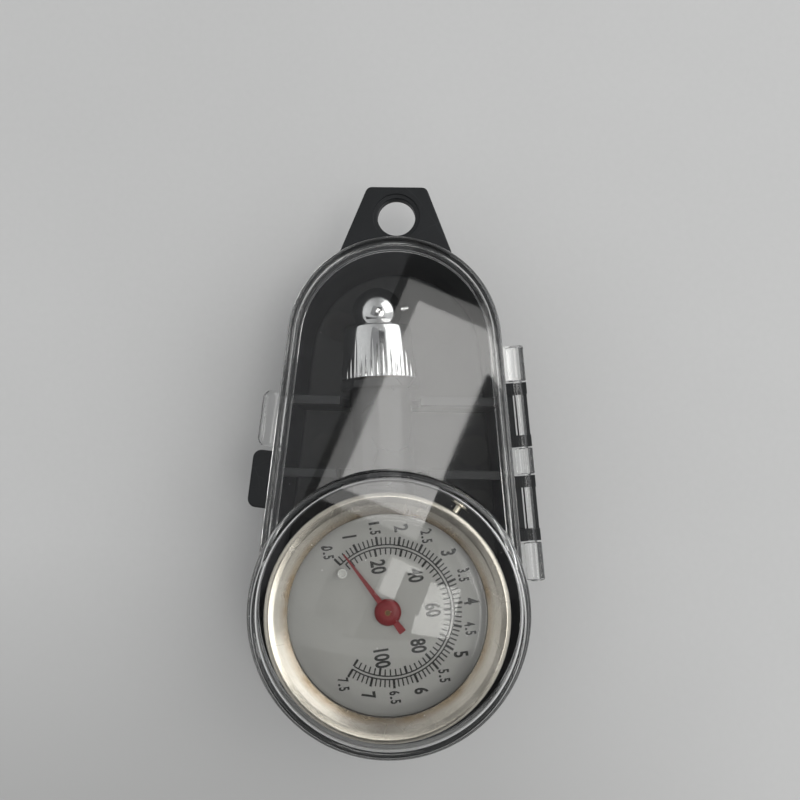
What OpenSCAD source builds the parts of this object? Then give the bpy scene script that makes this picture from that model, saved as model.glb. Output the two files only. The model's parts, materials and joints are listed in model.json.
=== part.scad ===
// Dial tyre-pressure gauge lying face up in a hinged storage case with a clear lid.
// The case stands on z = 0 with the dome centre over the origin, hang tab towards +Y and hinge on +X.

/* [Case] */
// Distance from the bezel's edge out to the case's round end, under the dome
end_room = 3.8; // [3.4:0.1:5]
// How far the tapered sides stand in from the round end
taper_in = 0.6; // [0.5:0.1:1.2]
// Radius of the arched end, beside the hang tab
arch_r = 22.8; // [21:0.1:25]
// Distance between the centres of the round end and the arched end
arch_y = 55.2; // [53:0.1:64]
// Height of the tray, up to the parting plane
tray_h = 24.3; // [24:0.1:26]
// Height of the lid's flat deck above the parting plane
deck_rise = 4; // [3.7:0.1:6]
// Height of the dome's top above the deck
dome_rise = 6.7; // [6.2:0.1:9]
// Wall of the tray at its rim
tray_wall = 1.6; // [1.2:0.1:1.8]
// Thickness of the tray's floor
floor_t = 1.8; // [1.2:0.1:2.4]
// How far the tray's walls lean in from rim to floor
draft = 1.2; // [0.4:0.1:1.6]
// Radius of the tray's bottom edge
bottom_edge_r = 1.5; // [0.5:0.1:1.7]
// Wall of the clear lid
lid_wall = 1.5; // [1:0.1:1.6]
// Radius of the lid's top edges
lid_edge_r = 1; // [0.4:0.1:1.3]
// How far the dome's wall leans in over its height
dome_lean = 0.7; // [0.2:0.1:0.9]
// Radius of the dome's top edge
dome_edge_r = 1.5; // [0.5:0.1:2]
// Gap between the lid's edge and the tray's rim
lid_gap = 0.1; // [0.05:0.05:0.3]
// Depth of the lid's locating lip below its edge
lip_depth = 1; // [0.4:0.1:1.2]
// Thickness of the locating lip
lip_t = 0.8; // [0.6:0.1:1.2]
// Sideways gap between the lip and the tray's wall
lip_gap = 0.3; // [0.3:0.05:0.5]

/* [Hang tab] */
// Radius of the hang hole
hang_r = 4.1; // [3:0.1:4.6]
// Distance of the hang hole's centre beyond the arched end
hang_out = 5; // [4.8:0.1:5.6]
// Length of the hang tab beyond the arched end
tab_len = 11.6; // [11:0.1:14]
// Width of the hang tab's tip
tab_tip_w = 12.8; // [12:0.1:16]
// Width of the hang tab's root
tab_root_w = 24; // [22:0.5:26]
// Thickness of the hang tab
tab_t = 2.8; // [2:0.1:3.5]
// Radius of the hang tab's corners
tab_corner_r = 1.2; // [0.6:0.1:2]
// Width of the sunk ring around the hang hole
hang_ring_w = 1; // [0.5:0.1:1.1]
// Depth of the sunk ring around the hang hole
hang_ring_depth = 0.3; // [0.2:0.05:0.6]

/* [Ribs] */
// Place of the rib near the stem's end, along the case
rib_a_y = 43.3; // [42:0.1:44]
// Place of the rib near the dial, along the case
rib_b_y = 27.5; // [27:0.1:30]
// Thickness of the ribs
rib_t = 2; // [1.2:0.1:2.4]
// Height of the ribs above the floor
rib_h = 18.7; // [16:0.1:19.5]
// Radius of the saddle in the rib near the stem's end
saddle_a_r = 8.75; // [8.2:0.05:9.2]
// Radius of the saddle in the rib near the dial
saddle_b_r = 9.9; // [9:0.1:10.4]

/* [Hinge] */
// Radius of the lid's hinge rod
rod_r = 1; // [0.8:0.05:1.1]
// Radius of the lid's knuckles
knuckle_r = 1.9; // [1.7:0.05:1.95]
// Distance of the hinge axis outside the tapered side
hinge_out = 2.75; // [2.7:0.05:3.2]
// Distance of the hinge axis below the parting plane
hinge_drop = 1.3; // [1.2:0.05:1.5]
// Place where the hinge starts, along the tapered side
hinge_start = 2.8; // [2:0.1:4]
// Length of the knuckle at the round end
knuckle_c_len = 7.9; // [6:0.1:9]
// Length of the knuckle between the clips
knuckle_b_len = 5.5; // [4:0.1:7]
// Length of the knuckle at the arched end
knuckle_a_len = 7.5; // [5:0.1:8]
// Length of each of the tray's clips
clip_len = 13.7; // [11:0.1:14.5]
// Width of a clip from the hinge axis to its outer face
clip_half_w = 1.8; // [1.7:0.05:2]
// Length of the saddle block at each end of a clip
clip_block_len = 2.5; // [1.5:0.1:4]
// Depth of a clip below the hinge axis
clip_depth = 2.4; // [2.1:0.1:3]
// Height of the saddle blocks above the hinge axis
clip_grip = 0.4; // [0.2:0.05:0.5]
// Gap along the hinge between a knuckle and a clip
hinge_gap = 0.3; // [0.2:0.05:0.5]
// Running gap between the rod and its saddles
rod_gap = 0.05; // [0.03:0.01:0.1]
// Thickness of the arms that carry the knuckles
arm_t = 0.9; // [0.6:0.1:1.2]

/* [Thumb tabs] */
// Length of the lid's thumb tab
lid_tab_len = 11.9; // [8:0.1:14]
// How far the lid's thumb tab stands out
lid_tab_out = 3.4; // [2:0.1:5]
// Thickness of the lid's thumb tab
lid_tab_t = 2.2; // [1.4:0.1:3]
// Place of the lid's thumb tab along the side
lid_tab_s = 36; // [34:0.1:40]
// Length of the tray's thumb tab
tray_tab_len = 12.2; // [8:0.1:14]
// How far the tray's thumb tab stands out
tray_tab_out = 4.2; // [2:0.1:6]
// Thickness of the tray's thumb tab
tray_tab_t = 2.3; // [1.4:0.1:3]
// Place of the tray's thumb tab along the side
tray_tab_s = 23.2; // [18:0.1:25]

/* [Gauge in the case] */
// Sideways place of the head's centre in the case
gauge_x = -0.4; // [-0.6:0.05:0.2]
// Lengthways place of the head's centre in the case
gauge_y = -1.2; // [-1.3:0.05:-0.2]
// Turn of the gauge in the case, in degrees
gauge_turn = 3.2; // [2:0.1:4]
// Gap under the head, which lies on the floor by its weight
rest_gap = 0.3; // [0.1:0.05:0.4]

/* [Head] */
// How far the bezel stands out from the can
bezel_out = 2; // [1.8:0.1:2.2]
// Width of the bezel, from its edge in to the opening
bezel_w = 4.6; // [4.4:0.1:5.2]
// Distance of the bezel's crest in from its edge
crest_in = 1.1; // [0.9:0.05:1.5]
// Height of the crest above the window's edge
crest_rise = 1.9; // [1:0.1:2.1]
// Thickness of the bezel's lip
bezel_t = 0.8; // [0.6:0.05:0.9]
// Radius of the can
can_r = 23; // [22.8:0.05:23.2]
// Sheet thickness of the can
can_wall = 0.8; // [0.6:0.05:0.9]
// Rounding of the can's back edge
can_edge = 1.2; // [0.6:0.1:1.5]
// Depth of the can from its back to the dial's face
dial_depth = 20.4; // [20.2:0.1:20.8]
// Height of the can's rim above the dial's face
rim_rise = 3.2; // [3:0.1:3.6]
// Thickness of the dial plate
dial_t = 0.4; // [0.3:0.05:0.6]
// Width of the ledge that the dial plate lies on
ledge_w = 1.2; // [0.8:0.1:1.4]
// Thickness of the lens
lens_t = 1; // [0.8:0.05:1.4]
// Height of the lens's crown above its edge
lens_rise = 3.1; // [2:0.1:3.3]
// Thickness of the lens gasket
gasket_t = 0.5; // [0.3:0.05:0.7]
// Wall of the distance ring between the dial and the gasket
dial_ring_w = 1.1; // [0.8:0.1:1.2]
// Distance of the stop pin from the head's centre
stop_r = 12.34; // [12:0.02:13]
// Direction of the stop pin, in degrees from the head's right
stop_angle = 137.85; // [136:0.05:139]
// Radius of the stop pin's head
stop_pin_r = 1; // [0.7:0.05:1.1]

/* [Pointer] */
// Direction of the pointer at rest, in degrees from the head's right
pointer_angle = 125.6; // [120:0.1:127]
// Reach of the pointer's tip
pointer_len = 15; // [12:0.1:18]
// Reach of the pointer's tail
tail_len = 5.1; // [3.5:0.1:7]
// Radius of the pointer's hub disc
hub_r = 2.8; // [2.2:0.1:3.4]
// Width of the pointer's arm at the hub
pointer_w = 1.15; // [0.8:0.05:1.6]
// Width of the pointer's tip
pointer_tip_w = 0.25; // [0.2:0.05:0.5]
// Width of the tail's end
tail_w = 1.8; // [1.2:0.1:2.4]
// Sheet thickness of the pointer's arm
pointer_t = 0.3; // [0.2:0.05:0.4]
// Height of the pointer above the dial's face
pointer_rise = 1; // [0.8:0.05:1.3]
// Radius of the pointer's brass bush
bush_r = 1.1; // [0.9:0.05:1.5]
// Radius of the arbors
arbor_r = 0.5; // [0.4:0.02:0.55]

/* [Movement] */
// Thickness of the movement's plates
plate_t = 1; // [0.8:0.05:1.2]
// Height of the movement's pillars
pillar_h = 2.7; // [2.6:0.05:2.9]
// Depth of the movement's top plate below the dial's face
movement_drop = 1.2; // [1.1:0.05:1.3]
// Gear module
gear_m = 0.3; // [0.29:0.005:0.31]
// Teeth on the pinion
pinion_teeth = 10; // [10:1:12]
// Teeth on a whole wheel of the sector's size
sector_whole = 70; // [68:1:72]
// Teeth cut on the sector
sector_teeth = 12; // [11:1:14]
// Face thickness of the sector
sector_t = 0.8; // [0.6:0.05:0.9]
// Thickness of the link
link_t = 0.6; // [0.4:0.05:0.65]
// Direction of the sector's arbor from the pointer's, in degrees from the head's right
sector_angle = 198; // [196:0.5:200]
// Length of the sector's tail
tail_arm = 4.5; // [4.2:0.1:4.8]
// Direction of the sector's tail at rest, in degrees from the head's right
tail_arm_angle = 188; // [186:0.5:190]
// Running gap of the movement's pivots
pivot_gap = 0.05; // [0.03:0.01:0.08]
// Clear gap in the link's open end
link_gap = 0.25; // [0.2:0.01:0.3]

/* [Pressure tube] */
// Distance from the can's inner wall to the middle of the pressure tube
tube_in = 5.2; // [5:0.1:5.4]
// Half width of the flattened pressure tube
tube_a = 1.3; // [1.1:0.05:1.4]
// Half height of the flattened pressure tube
tube_b = 3.4; // [2.8:0.1:3.5]
// Wall of the pressure tube
tube_wall = 0.3; // [0.2:0.05:0.4]
// Sweep of the pressure tube, in degrees
tube_sweep = 252; // [248:1:254]
// Depth of the pressure tube's middle below the stem's axis
tube_drop = 3.8; // [3.6:0.1:4]

/* [Stem and chuck] */
// Height of the stem's axis above the case's bottom
stem_z = 15; // [14.8:0.05:15.2]
// Radius of the stem's sleeve
sleeve_r = 6.9; // [6.5:0.1:7.4]
// Reach of the sleeve's end from the head's centre
sleeve_end = 47.2; // [46:0.1:48]
// Radius of the collar
collar_r = 8.7; // [8.2:0.1:8.8]
// Length of the collar
collar_len = 2.2; // [1.5:0.1:2.6]
// Radius of the chuck nut's foot
nut_foot_r = 8.6; // [8.3:0.1:8.8]
// Radius of the chuck nut's top
nut_top_r = 7.75; // [7.4:0.05:8]
// Length of the chuck nut
nut_len = 11.9; // [11.5:0.1:12.4]
// Number of flutes on the chuck nut
flutes = 40; // [24:2:44]
// Depth of the flutes
flute_depth = 0.22; // [0.1:0.02:0.3]
// Radius of the chuck's ball
ball_r = 5.7; // [5.6:0.05:6]
// Height of the ball's centre above the nut's top
ball_rise = 3.25; // [3.2:0.05:3.6]
// Radius of the chuck's mouth
mouth_r = 3.9; // [3.8:0.02:3.95]
// Tilt of the chuck's mouth away from the nut, in degrees
mouth_tilt = 30; // [29:1:34]
// Distance of the mouth's floor from the ball's centre
mouth_floor = 1.2; // [1.1:0.05:1.3]
// Thickness of the mouth's rubber washer
washer_t = 1.5; // [1:0.1:1.8]
// Radius of the chuck's neck
neck_r = 3; // [2.6:0.1:3.2]
// Radius of the deflator nub
nub_r = 0.75; // [0.6:0.05:1]
// Reach of the deflator nub from the ball's centre
nub_reach = 7; // [6.2:0.1:7.2]
// Direction of the deflator nub above the stem's right, in degrees
nub_angle = 8; // [4:1:14]
// Radius of the stem's core
core_r = 4.6; // [4.3:0.05:4.8]
// Radius of the core's threaded end
thread_r = 6.4; // [6:0.05:6.8]
// Radius of the head's threaded neck
socket_neck_r = 3.2; // [3:0.05:3.3]
// Radius of the hold valve's chamber
chamber_r = 2.6; // [2.4:0.05:2.8]
// Travel of the hold valve's poppet
poppet_travel = 1; // [0.6:0.1:1.2]

/* [Release button] */
// Direction of the release button, in degrees from the head's right
button_angle = 52.5; // [50:0.5:54]
// Height of the button's axis above the stem's axis
button_up = 2; // [1.9:0.05:2.1]
// Radius of the button's flange
flange_r = 2.5; // [2:0.1:2.8]
// Thickness of the button's flange
flange_t = 1; // [0.6:0.1:1.3]
// Radius of the button's shank
shank_r = 1; // [0.9:0.02:1.02]
// How far the button stands out from the can
button_out = 4.5; // [4.1:0.1:4.8]
// Travel of the button
button_travel = 1.5; // [1:0.1:1.6]
// Radius of the release valve's body
valve_r = 2.1; // [2:0.02:2.15]
// Running gap around the button's shank
shank_gap = 0.05; // [0.03:0.01:0.08]

/* [Hidden] */

$fn = 96;
hull_fn = 64;        // sides of the round ends inside a hull
eps = 0.01;
fit = 0.02;          // gap of parts that are fixed together
arc_steps = 4;

// Sizes that follow from the can, worked out
can_in_r = can_r - can_wall;
bezel_r = can_r + bezel_out;
window_r = bezel_r - bezel_w;
crest_r = bezel_r - crest_in;
tube_bend_r = can_in_r - tube_in;
button_reach = can_r + button_out;
end_r = bezel_r + end_room;
taper_r = end_r - taper_in;

// Case, worked out
taper = asin((taper_r - arch_r) / arch_y);
deck_z = tray_h + deck_rise;
dome_z = deck_z + dome_rise;
lid_z = tray_h + lid_gap;
ceiling_z = deck_z - lid_wall;
case_end_y = arch_y + arch_r;
hang_y = case_end_y + hang_out;
tab_root_y = case_end_y - 2.5;
hinge_r = taper_r + hinge_out;
hinge_z = tray_h - hinge_drop;
clip_c_s = hinge_start + knuckle_c_len + hinge_gap;
knuckle_b_s = clip_c_s + clip_len + hinge_gap;
clip_a_s = knuckle_b_s + knuckle_b_len + hinge_gap;
knuckle_a_s = clip_a_s + clip_len + hinge_gap;
hinge_end = knuckle_a_s + knuckle_a_len;

// Heights in the head, worked out
back_z = floor_t + rest_gap;
dial_z = back_z + dial_depth;
ledge_z = dial_z - dial_t;
rim_z = dial_z + rim_rise;
lens_z = rim_z + gasket_t;
lens_top_z = lens_z + lens_t;
window_z = lens_top_z + bezel_t;
crest_z = window_z + crest_rise;
lip_r = bezel_r - bezel_t;                 // outer radius of the can's rolled rim
rim_t = 0.8;
crimp_z = rim_z - rim_t - 0.1 - bezel_t;   // lower edge of the bezel
crown_r = window_r - 0.2;                  // foot radius of the lens's crown
crown_ball_r = (crown_r * crown_r + lens_rise * lens_rise) / (2 * lens_rise);
crown_z = lens_top_z + lens_rise - crown_ball_r;

// Movement, worked out
front_top_z = dial_z - movement_drop;
front_z = front_top_z - plate_t;
rear_top_z = front_z - pillar_h;
rear_z = rear_top_z - plate_t;
link_z = rear_top_z + 0.4;
sector_z = link_z + link_t + 0.3;
spring_z = rear_top_z + 0.35;
pinion_r = gear_m * pinion_teeth / 2;
sector_r = gear_m * sector_whole / 2;
gear_gap = pinion_r + sector_r;
sector_p = gear_gap * [cos(sector_angle), sin(sector_angle)];
tail_p = sector_p + tail_arm * [cos(tail_arm_angle), sin(tail_arm_angle)];
tip_in = 3.387;                            // link's pin inside the pressure tube's middle
tip_p = (tube_bend_r - tip_in) * [cos(177.474), sin(177.474)];
pin_r = 0.35;
pinion_h = sector_t + 0.4;
pillar_r = 0.9;
pillars = [[-3.4, -3.2], [-3.4, 3.2], [12.9, 4.4]];
block_screw_x = 2.5;
block_screw_y = 6.5;
screw_r = 0.7;
screw_head_r = 1.25;
screw_head_t = 0.6;

// Pressure tube and socket block, worked out
tube_z = stem_z - tube_drop;
tube_start = 76;                           // direction of the tube's root
tube_end = tube_start - tube_sweep;
block_w = 10;
block_end = can_in_r - 1;
block_y = block_end - 8.7;
block_top = stem_z + 4.5;
block_low = stem_z - 7.5;
tongue_w = 8;
tongue_y = 2.4;
foot_w = 6;
back_screw_y = [block_end - 5.7, block_end - 2.5];
bore_y = block_end - 4.7;
bore_r = 1.2;
tip_arc = 9;
tip_cover = 4;

// Stem, worked out; every place is a distance from the head's centre along the stem
core_start = can_r + 0.6;
neck_len = 7;
collar_end = sleeve_end + collar_len;
thread_end = collar_end + 7;
nut_start = collar_end + 0.1;
nut_end = nut_start + nut_len;
nut_lip = 2.2;
ball_s = nut_end + ball_rise;
ball_cut = nut_end + 0.1;
flange_s = thread_end + 0.6;
flange_len = nut_end - nut_lip - 0.2 - flange_s;
neck_flange_r = 5;
chamber_s = collar_end - 5.4;
seat_s = thread_end - 1.6;
seat_len = 1;
poppet_s = seat_s - 0.1;
poppet_head = 1.2;
wire_r = 0.2;
poppet_r = 1.9;
poppet_stem_r = 0.7;
poppet_coil_r = 1.6;
neck_seal_in_r = 1.6;
washer_in_r = 1.7;
mouth_bore_r = 0.8;
depressor_r = 0.7;
depressor_bar = [3.2, 0.8, 0.4];
depressor_out = 0.9;                       // how far the depressor stands above the washer
nub_root = ball_r - 1.6;
nub_bore = 0.5;                            // depth of the hole in the nub

// Release valve, worked out; every place is a distance from the head's centre along the button
button_z = stem_z + button_up;
valve_start = can_r - 10;
valve_end = can_r + 1.2;
valve_back = 1.4;
valve_front = valve_end - 2.3;
valve_chamber_r = valve_r - 0.4;
pipe_r = 0.8;
pipe_in = 2;                               // length of the bleed pipe inside the socket block
pipe_hole = 1.2;                           // how far the valve's hole runs on past the pipe's end
pipe_cross = valve_start + 4.89871;        // where the pipe's line crosses the button's axis
pipe_y = pipe_cross * sin(button_angle);
pipe_end = pipe_cross * cos(button_angle) - (valve_chamber_r - 0.0371) / sin(button_angle);
pipe_start = block_w / 2 - pipe_in;
disc_t = 0.9;
seal_t = 0.45;
disc_s = valve_front - 0.05 - seal_t - disc_t;
disc_r = valve_chamber_r - 0.25;
button_coil_r = 1.15;
button_wire_r = 0.17;

// ---- helpers ----

// points of an arc, from angle a0 to angle a1
function arc(cx, cy, r, a0, a1, n = arc_steps) =
  [for (i = [0 : n]) let (a = a0 + (a1 - a0) * i / n) [cx + r * cos(a), cy + r * sin(a)]];

// outline of a flattened tube
function oval(a, b, n = 20) =
  [for (i = [0 : n - 1]) let (t = 360 * i / n)
    [a * sign(cos(t)) * pow(abs(cos(t)), 0.7), b * sign(sin(t)) * pow(abs(sin(t)), 0.7)]];

// solid of revolution with an outer radius r at the rim and r - lean at the foot
module drafted(r, z0, z1, lean, foot_r = 0) {
  pts = concat([[0, z0]],
    foot_r > 0 ? arc(r - lean - foot_r, z0 + foot_r, foot_r, -90, 0) : [[r - lean, z0]],
    [[r, z1], [0, z1]]);
  rotate_extrude() polygon(pts);
}

// the case's outline as a solid: tapered body between two round ends, plus the fuller round end
module case_solid(inset, z0, z1, lean, foot_r = 0) {
  hull() {
    translate([0, arch_y, 0]) drafted(arch_r - inset, z0, z1, lean, foot_r, $fn = hull_fn);
    drafted(taper_r - inset, z0, z1, lean, foot_r, $fn = hull_fn);
  }
  drafted(end_r - inset, z0, z1, lean, foot_r);
}

// the same outline with the small radius on the upper edge
module case_cap(inset, z0, z1, lean, top_r) {
  mirror([0, 0, 1]) case_solid(inset, -z1, -z0, lean, top_r);
}

module right_side() {
  rotate(taper) children();
}

module left_side() {
  rotate(-taper) children();
}

// a tab with rounded outer corners, standing out of a side at x = 0 towards +X
module thumb_tab(out, len, root, corner) {
  polygon(concat([[-root, -len / 2]], arc(out - corner, corner - len / 2, corner, -90, 0),
    arc(out - corner, len / 2 - corner, corner, 0, 90), [[-root, len / 2]]));
}

module place_gauge() {
  translate([gauge_x, gauge_y, 0]) rotate(gauge_turn) children();
}

// +Z of the children runs along the stem
module along_stem() {
  place_gauge() translate([0, 0, stem_z]) rotate([-90, 0, 0]) children();
}

// +Z of the children runs outwards along the button
module along_button() {
  place_gauge() translate([0, 0, button_z]) rotate([0, 0, button_angle]) rotate([0, 90, 0]) children();
}

// +Z of the children runs out of the chuck's mouth
module along_mouth() {
  along_stem() translate([0, 0, ball_s]) rotate([mouth_tilt - 90, 0, 0]) children();
}

// the pointer's arbor is the origin and the sector's lies on +X
module along_movement() {
  place_gauge() rotate(sector_angle) children();
}

module ring(r_out, r_in, z0, z1) {
  translate([0, 0, z0]) difference() {
    cylinder(r = r_out, h = z1 - z0);
    translate([0, 0, -eps]) cylinder(r = r_in, h = z1 - z0 + 2 * eps);
  }
}

module rod(r, z0, z1) {
  translate([0, 0, z0]) cylinder(r = r, h = z1 - z0);
}

// round wire wound on z, its ends cut flat across the wire
module wound_spring(r, wire, len, turns) {
  sides = 6;
  steps = 8 * turns;
  pitch = (len - 2 * wire) / turns;
  rings = [for (i = [0 : steps]) [360 * i / 8, wire + pitch * i / 8]];
  points = [for (q = rings) for (k = [0 : sides - 1]) let (b = 360 * k / sides)
    [(r + wire * cos(b)) * cos(q[0]), (r + wire * cos(b)) * sin(q[0]), q[1] + wire * sin(b)]];
  walls = [for (i = [0 : steps - 1]) for (k = [0 : sides - 1])
    let (a = i * sides + k, b = i * sides + (k + 1) % sides)
    each [[a, b, b + sides], [a, b + sides, a + sides]]];
  start = [for (k = [1 : sides - 2]) [0, k + 1, k]];
  last = steps * sides;
  stop = [for (k = [1 : sides - 2]) [last, last + k, last + k + 1]];
  polyhedron(points = points, faces = concat([for (f = walls) [f[2], f[1], f[0]]],
    [for (f = start) [f[2], f[1], f[0]]], [for (f = stop) [f[2], f[1], f[0]]]));
}

// ---- case ----

module rib(y, saddle_r) {
  half = (taper_r - y * sin(taper)) / cos(taper) - tray_wall + 0.3;
  difference() {
    translate([-half, y - rib_t / 2, floor_t - eps]) cube([2 * half, rib_t, rib_h + eps]);
    along_stem() translate([0, 0, y - 6]) cylinder(r = saddle_r, h = 20);
    along_stem() translate([-saddle_r, -20, y - 6]) cube([2 * saddle_r, 20, 20]);
  }
}

module clip(s0) {
  low = hinge_z - clip_depth;
  rail = clip_half_w - rod_r - rod_gap;
  slot_in = -rod_r - rod_gap - 0.15;
  right_side() difference() {
    union() {
      translate([taper_r - 0.6, s0, low]) cube([hinge_out + 0.6 + clip_half_w, clip_len, clip_depth - 0.6]);
      for (s = [s0, s0 + clip_len - clip_block_len])
        translate([taper_r - 0.6, s, low])
          cube([hinge_out + 0.6 + clip_half_w, clip_block_len, clip_depth + clip_grip]);
    }
    translate([hinge_r, s0 - 1, hinge_z]) rotate([-90, 0, 0]) cylinder(r = rod_r + rod_gap, h = clip_len + 2);
    translate([hinge_r + slot_in, s0 + clip_block_len, low - 1])
      cube([clip_half_w - rail - slot_in, clip_len - 2 * clip_block_len, clip_depth + 2]);
  }
}

module hang_tab() {
  tip_y = case_end_y + tab_len;
  lean = atan((tab_root_w - tab_tip_w) / 2 / (tip_y - tab_root_y));
  cx = tab_tip_w / 2 - tab_corner_r;
  cy = tip_y - tab_corner_r;
  difference() {
    translate([0, 0, tray_h - tab_t]) linear_extrude(tab_t)
      polygon(concat([[-tab_root_w / 2, tab_root_y - 4], [tab_root_w / 2, tab_root_y - 4],
        [tab_root_w / 2, tab_root_y]], arc(cx, cy, tab_corner_r, lean, 90),
        arc(-cx, cy, tab_corner_r, 90, 180 - lean), [[-tab_root_w / 2, tab_root_y]]));
    translate([0, hang_y, tray_h - tab_t - 1]) cylinder(r = hang_r, h = tab_t + 2);
    translate([0, hang_y, 0]) ring(hang_r + hang_ring_w, hang_r - 1, tray_h - hang_ring_depth, tray_h + 1);
  }
}

module tray() {
  color([0.16, 0.165, 0.17]) {
    difference() {
      union() {
        case_solid(0, 0, tray_h, draft, bottom_edge_r);
        hang_tab();
        left_side() translate([-taper_r, tray_tab_s, tray_h - tray_tab_t]) linear_extrude(tray_tab_t)
          mirror([1, 0, 0]) thumb_tab(tray_tab_out, tray_tab_len, 1, 1.8);
        for (s = [clip_c_s, clip_a_s]) clip(s);
      }
      case_solid(tray_wall, floor_t, tray_h + 1, draft, bottom_edge_r / 2);
    }
    rib(rib_a_y, saddle_a_r);
    rib(rib_b_y, saddle_b_r);
  }
}

module knuckle(s0, len) {
  right_side() {
    translate([hinge_r, s0, hinge_z]) rotate([-90, 0, 0]) cylinder(r = knuckle_r, h = len);
    translate([taper_r - 0.7, s0, lid_z]) cube([hinge_out + 0.7, len, arm_t]);
  }
}

module dome_solid(inset, z0, z1, edge) {
  r = end_r - inset;
  rotate_extrude() polygon(concat([[0, z0], [r, z0]],
    arc(r - dome_lean - edge, z1 - edge, edge, 0, 90), [[0, z1]]));
}

module lid() {
  lip_r_inset = tray_wall + lip_gap;
  color([0.85, 0.9, 0.92, 0.35]) {
    difference() {
      union() {
        case_cap(0, lid_z, deck_z, 0.3, lid_edge_r);
        case_solid(lip_r_inset, lid_z - lip_depth, lid_z + 0.5, 0);
        dome_solid(0, lid_z, dome_z, dome_edge_r);
        left_side() translate([-taper_r, lid_tab_s, lid_z]) linear_extrude(lid_tab_t)
          mirror([1, 0, 0]) thumb_tab(lid_tab_out, lid_tab_len, 0.5, 1.8);
      }
      case_solid(lip_r_inset + lip_t, lid_z - lip_depth - 1, lid_z + 1, 0);
      case_solid(lid_wall, lid_z + 1 - eps, ceiling_z, 0);
      dome_solid(lid_wall, lid_z - lip_depth - 1, dome_z - lid_wall, dome_edge_r / 2);
    }
    knuckle(hinge_start, knuckle_c_len);
    knuckle(knuckle_b_s, knuckle_b_len);
    knuckle(knuckle_a_s, knuckle_a_len);
    right_side() translate([hinge_r, hinge_start, hinge_z]) rotate([-90, 0, 0])
      cylinder(r = rod_r, h = hinge_end - hinge_start);
  }
}

// ---- head ----

module gauge_can() {
  color([0.75, 0.74, 0.7]) difference() {
    place_gauge() rotate_extrude() polygon([
      [0, back_z], [can_r - can_edge, back_z], [can_r, back_z + can_edge], [can_r, rim_z - rim_t],
      [lip_r, rim_z - rim_t], [lip_r, rim_z], [can_in_r, rim_z], [can_in_r, ledge_z],
      [can_in_r - ledge_w, ledge_z], [can_in_r - ledge_w, ledge_z - 0.5], [can_in_r, ledge_z - 1.3],
      [can_in_r, back_z + can_edge + can_wall / 2], [can_r - can_edge - can_wall / 2, back_z + can_wall],
      [0, back_z + can_wall]]);
    along_stem() rod(socket_neck_r + fit, block_end - 1, can_r + 1);
    along_button() rod(valve_r + fit, can_in_r - 2, can_r + 1);
    place_gauge() for (y = back_screw_y) translate([0, y, back_z]) {
      translate([0, 0, -eps]) cylinder(r = screw_r + 0.1, h = can_wall + 0.1);
      translate([0, 0, -eps]) cylinder(r1 = screw_head_r + 0.1 + eps, r2 = screw_r + 0.1, h = 0.5);
    }
  }
}

module bezel() {
  color([0.78, 0.76, 0.7]) place_gauge() rotate_extrude() polygon(concat(
    [[can_r + 0.1, crimp_z], [bezel_r - 0.5, crimp_z], [bezel_r - 0.1, crimp_z + 0.8], [bezel_r, crimp_z + 2.6]],
    arc(bezel_r - 1, crest_z - 1.1, 1, 0, 70),
    [[crest_r, crest_z], [crest_r - 0.7, crest_z - 0.25], [window_r + 0.3, window_z + 0.1], [window_r, window_z - 0.15],
     [window_r, lens_top_z], [window_r + 1.2, lens_top_z], [crest_r - 0.3, crest_z - 1.3],
     [lip_r + 0.1, crest_z - 1.7], [lip_r + 0.1, crimp_z + bezel_t], [can_r + 0.1, crimp_z + bezel_t]]));
}

module lens() {
  color([0.9, 0.93, 0.95, 0.3]) place_gauge() difference() {
    union() {
      rod(lip_r - 0.7, lens_z, lens_top_z);
      intersection() {
        translate([0, 0, crown_z]) sphere(r = crown_ball_r);
        rod(crown_r, lens_z + 0.2, lens_top_z + lens_rise + 1);
      }
    }
    intersection() {
      translate([0, 0, crown_z]) sphere(r = crown_ball_r - lens_t);
      rod(crown_r - lens_t, lens_z - 1, lens_top_z + lens_rise + 1);
    }
  }
}

module lens_gasket() {
  color([0.1, 0.1, 0.1]) place_gauge() ring(lip_r - 0.8, can_in_r - dial_ring_w - 0.1, rim_z, lens_z);
}

module dial_ring() {
  color([0.2, 0.2, 0.2]) place_gauge() ring(can_in_r - 0.1, can_in_r - 0.1 - dial_ring_w, dial_z, rim_z);
}

module dial_plate() {
  color([0.72, 0.73, 0.73]) place_gauge() difference() {
    rod(can_in_r - 0.1, ledge_z, dial_z);
    rod(2, ledge_z - 1, dial_z + 1);
    rotate(stop_angle) translate([stop_r, 0, 0]) rod(stop_pin_r * 0.6, ledge_z - 1, dial_z + 1);
  }
}

module stop_pin() {
  color([0.6, 0.6, 0.58]) place_gauge() rotate(stop_angle) translate([stop_r, 0, 0]) {
    rod(stop_pin_r * 0.6, ledge_z - 0.4, dial_z + eps);
    rod(stop_pin_r, dial_z, dial_z + 1.5);
    translate([0, 0, dial_z + 1.5]) cylinder(r1 = stop_pin_r, r2 = stop_pin_r * 0.6, h = 0.3);
  }
}

module back_screws() {
  color([0.7, 0.7, 0.7]) place_gauge() for (y = back_screw_y) translate([0, y, back_z]) difference() {
    union() {
      cylinder(r1 = screw_head_r, r2 = screw_r, h = 0.5);
      translate([0, 0, 0.5 - eps]) cylinder(r = screw_r, h = 4);
    }
    translate([-2, -0.15, -1]) cube([4, 0.3, 1.25]);
  }
}

// ---- pressure side ----

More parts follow.
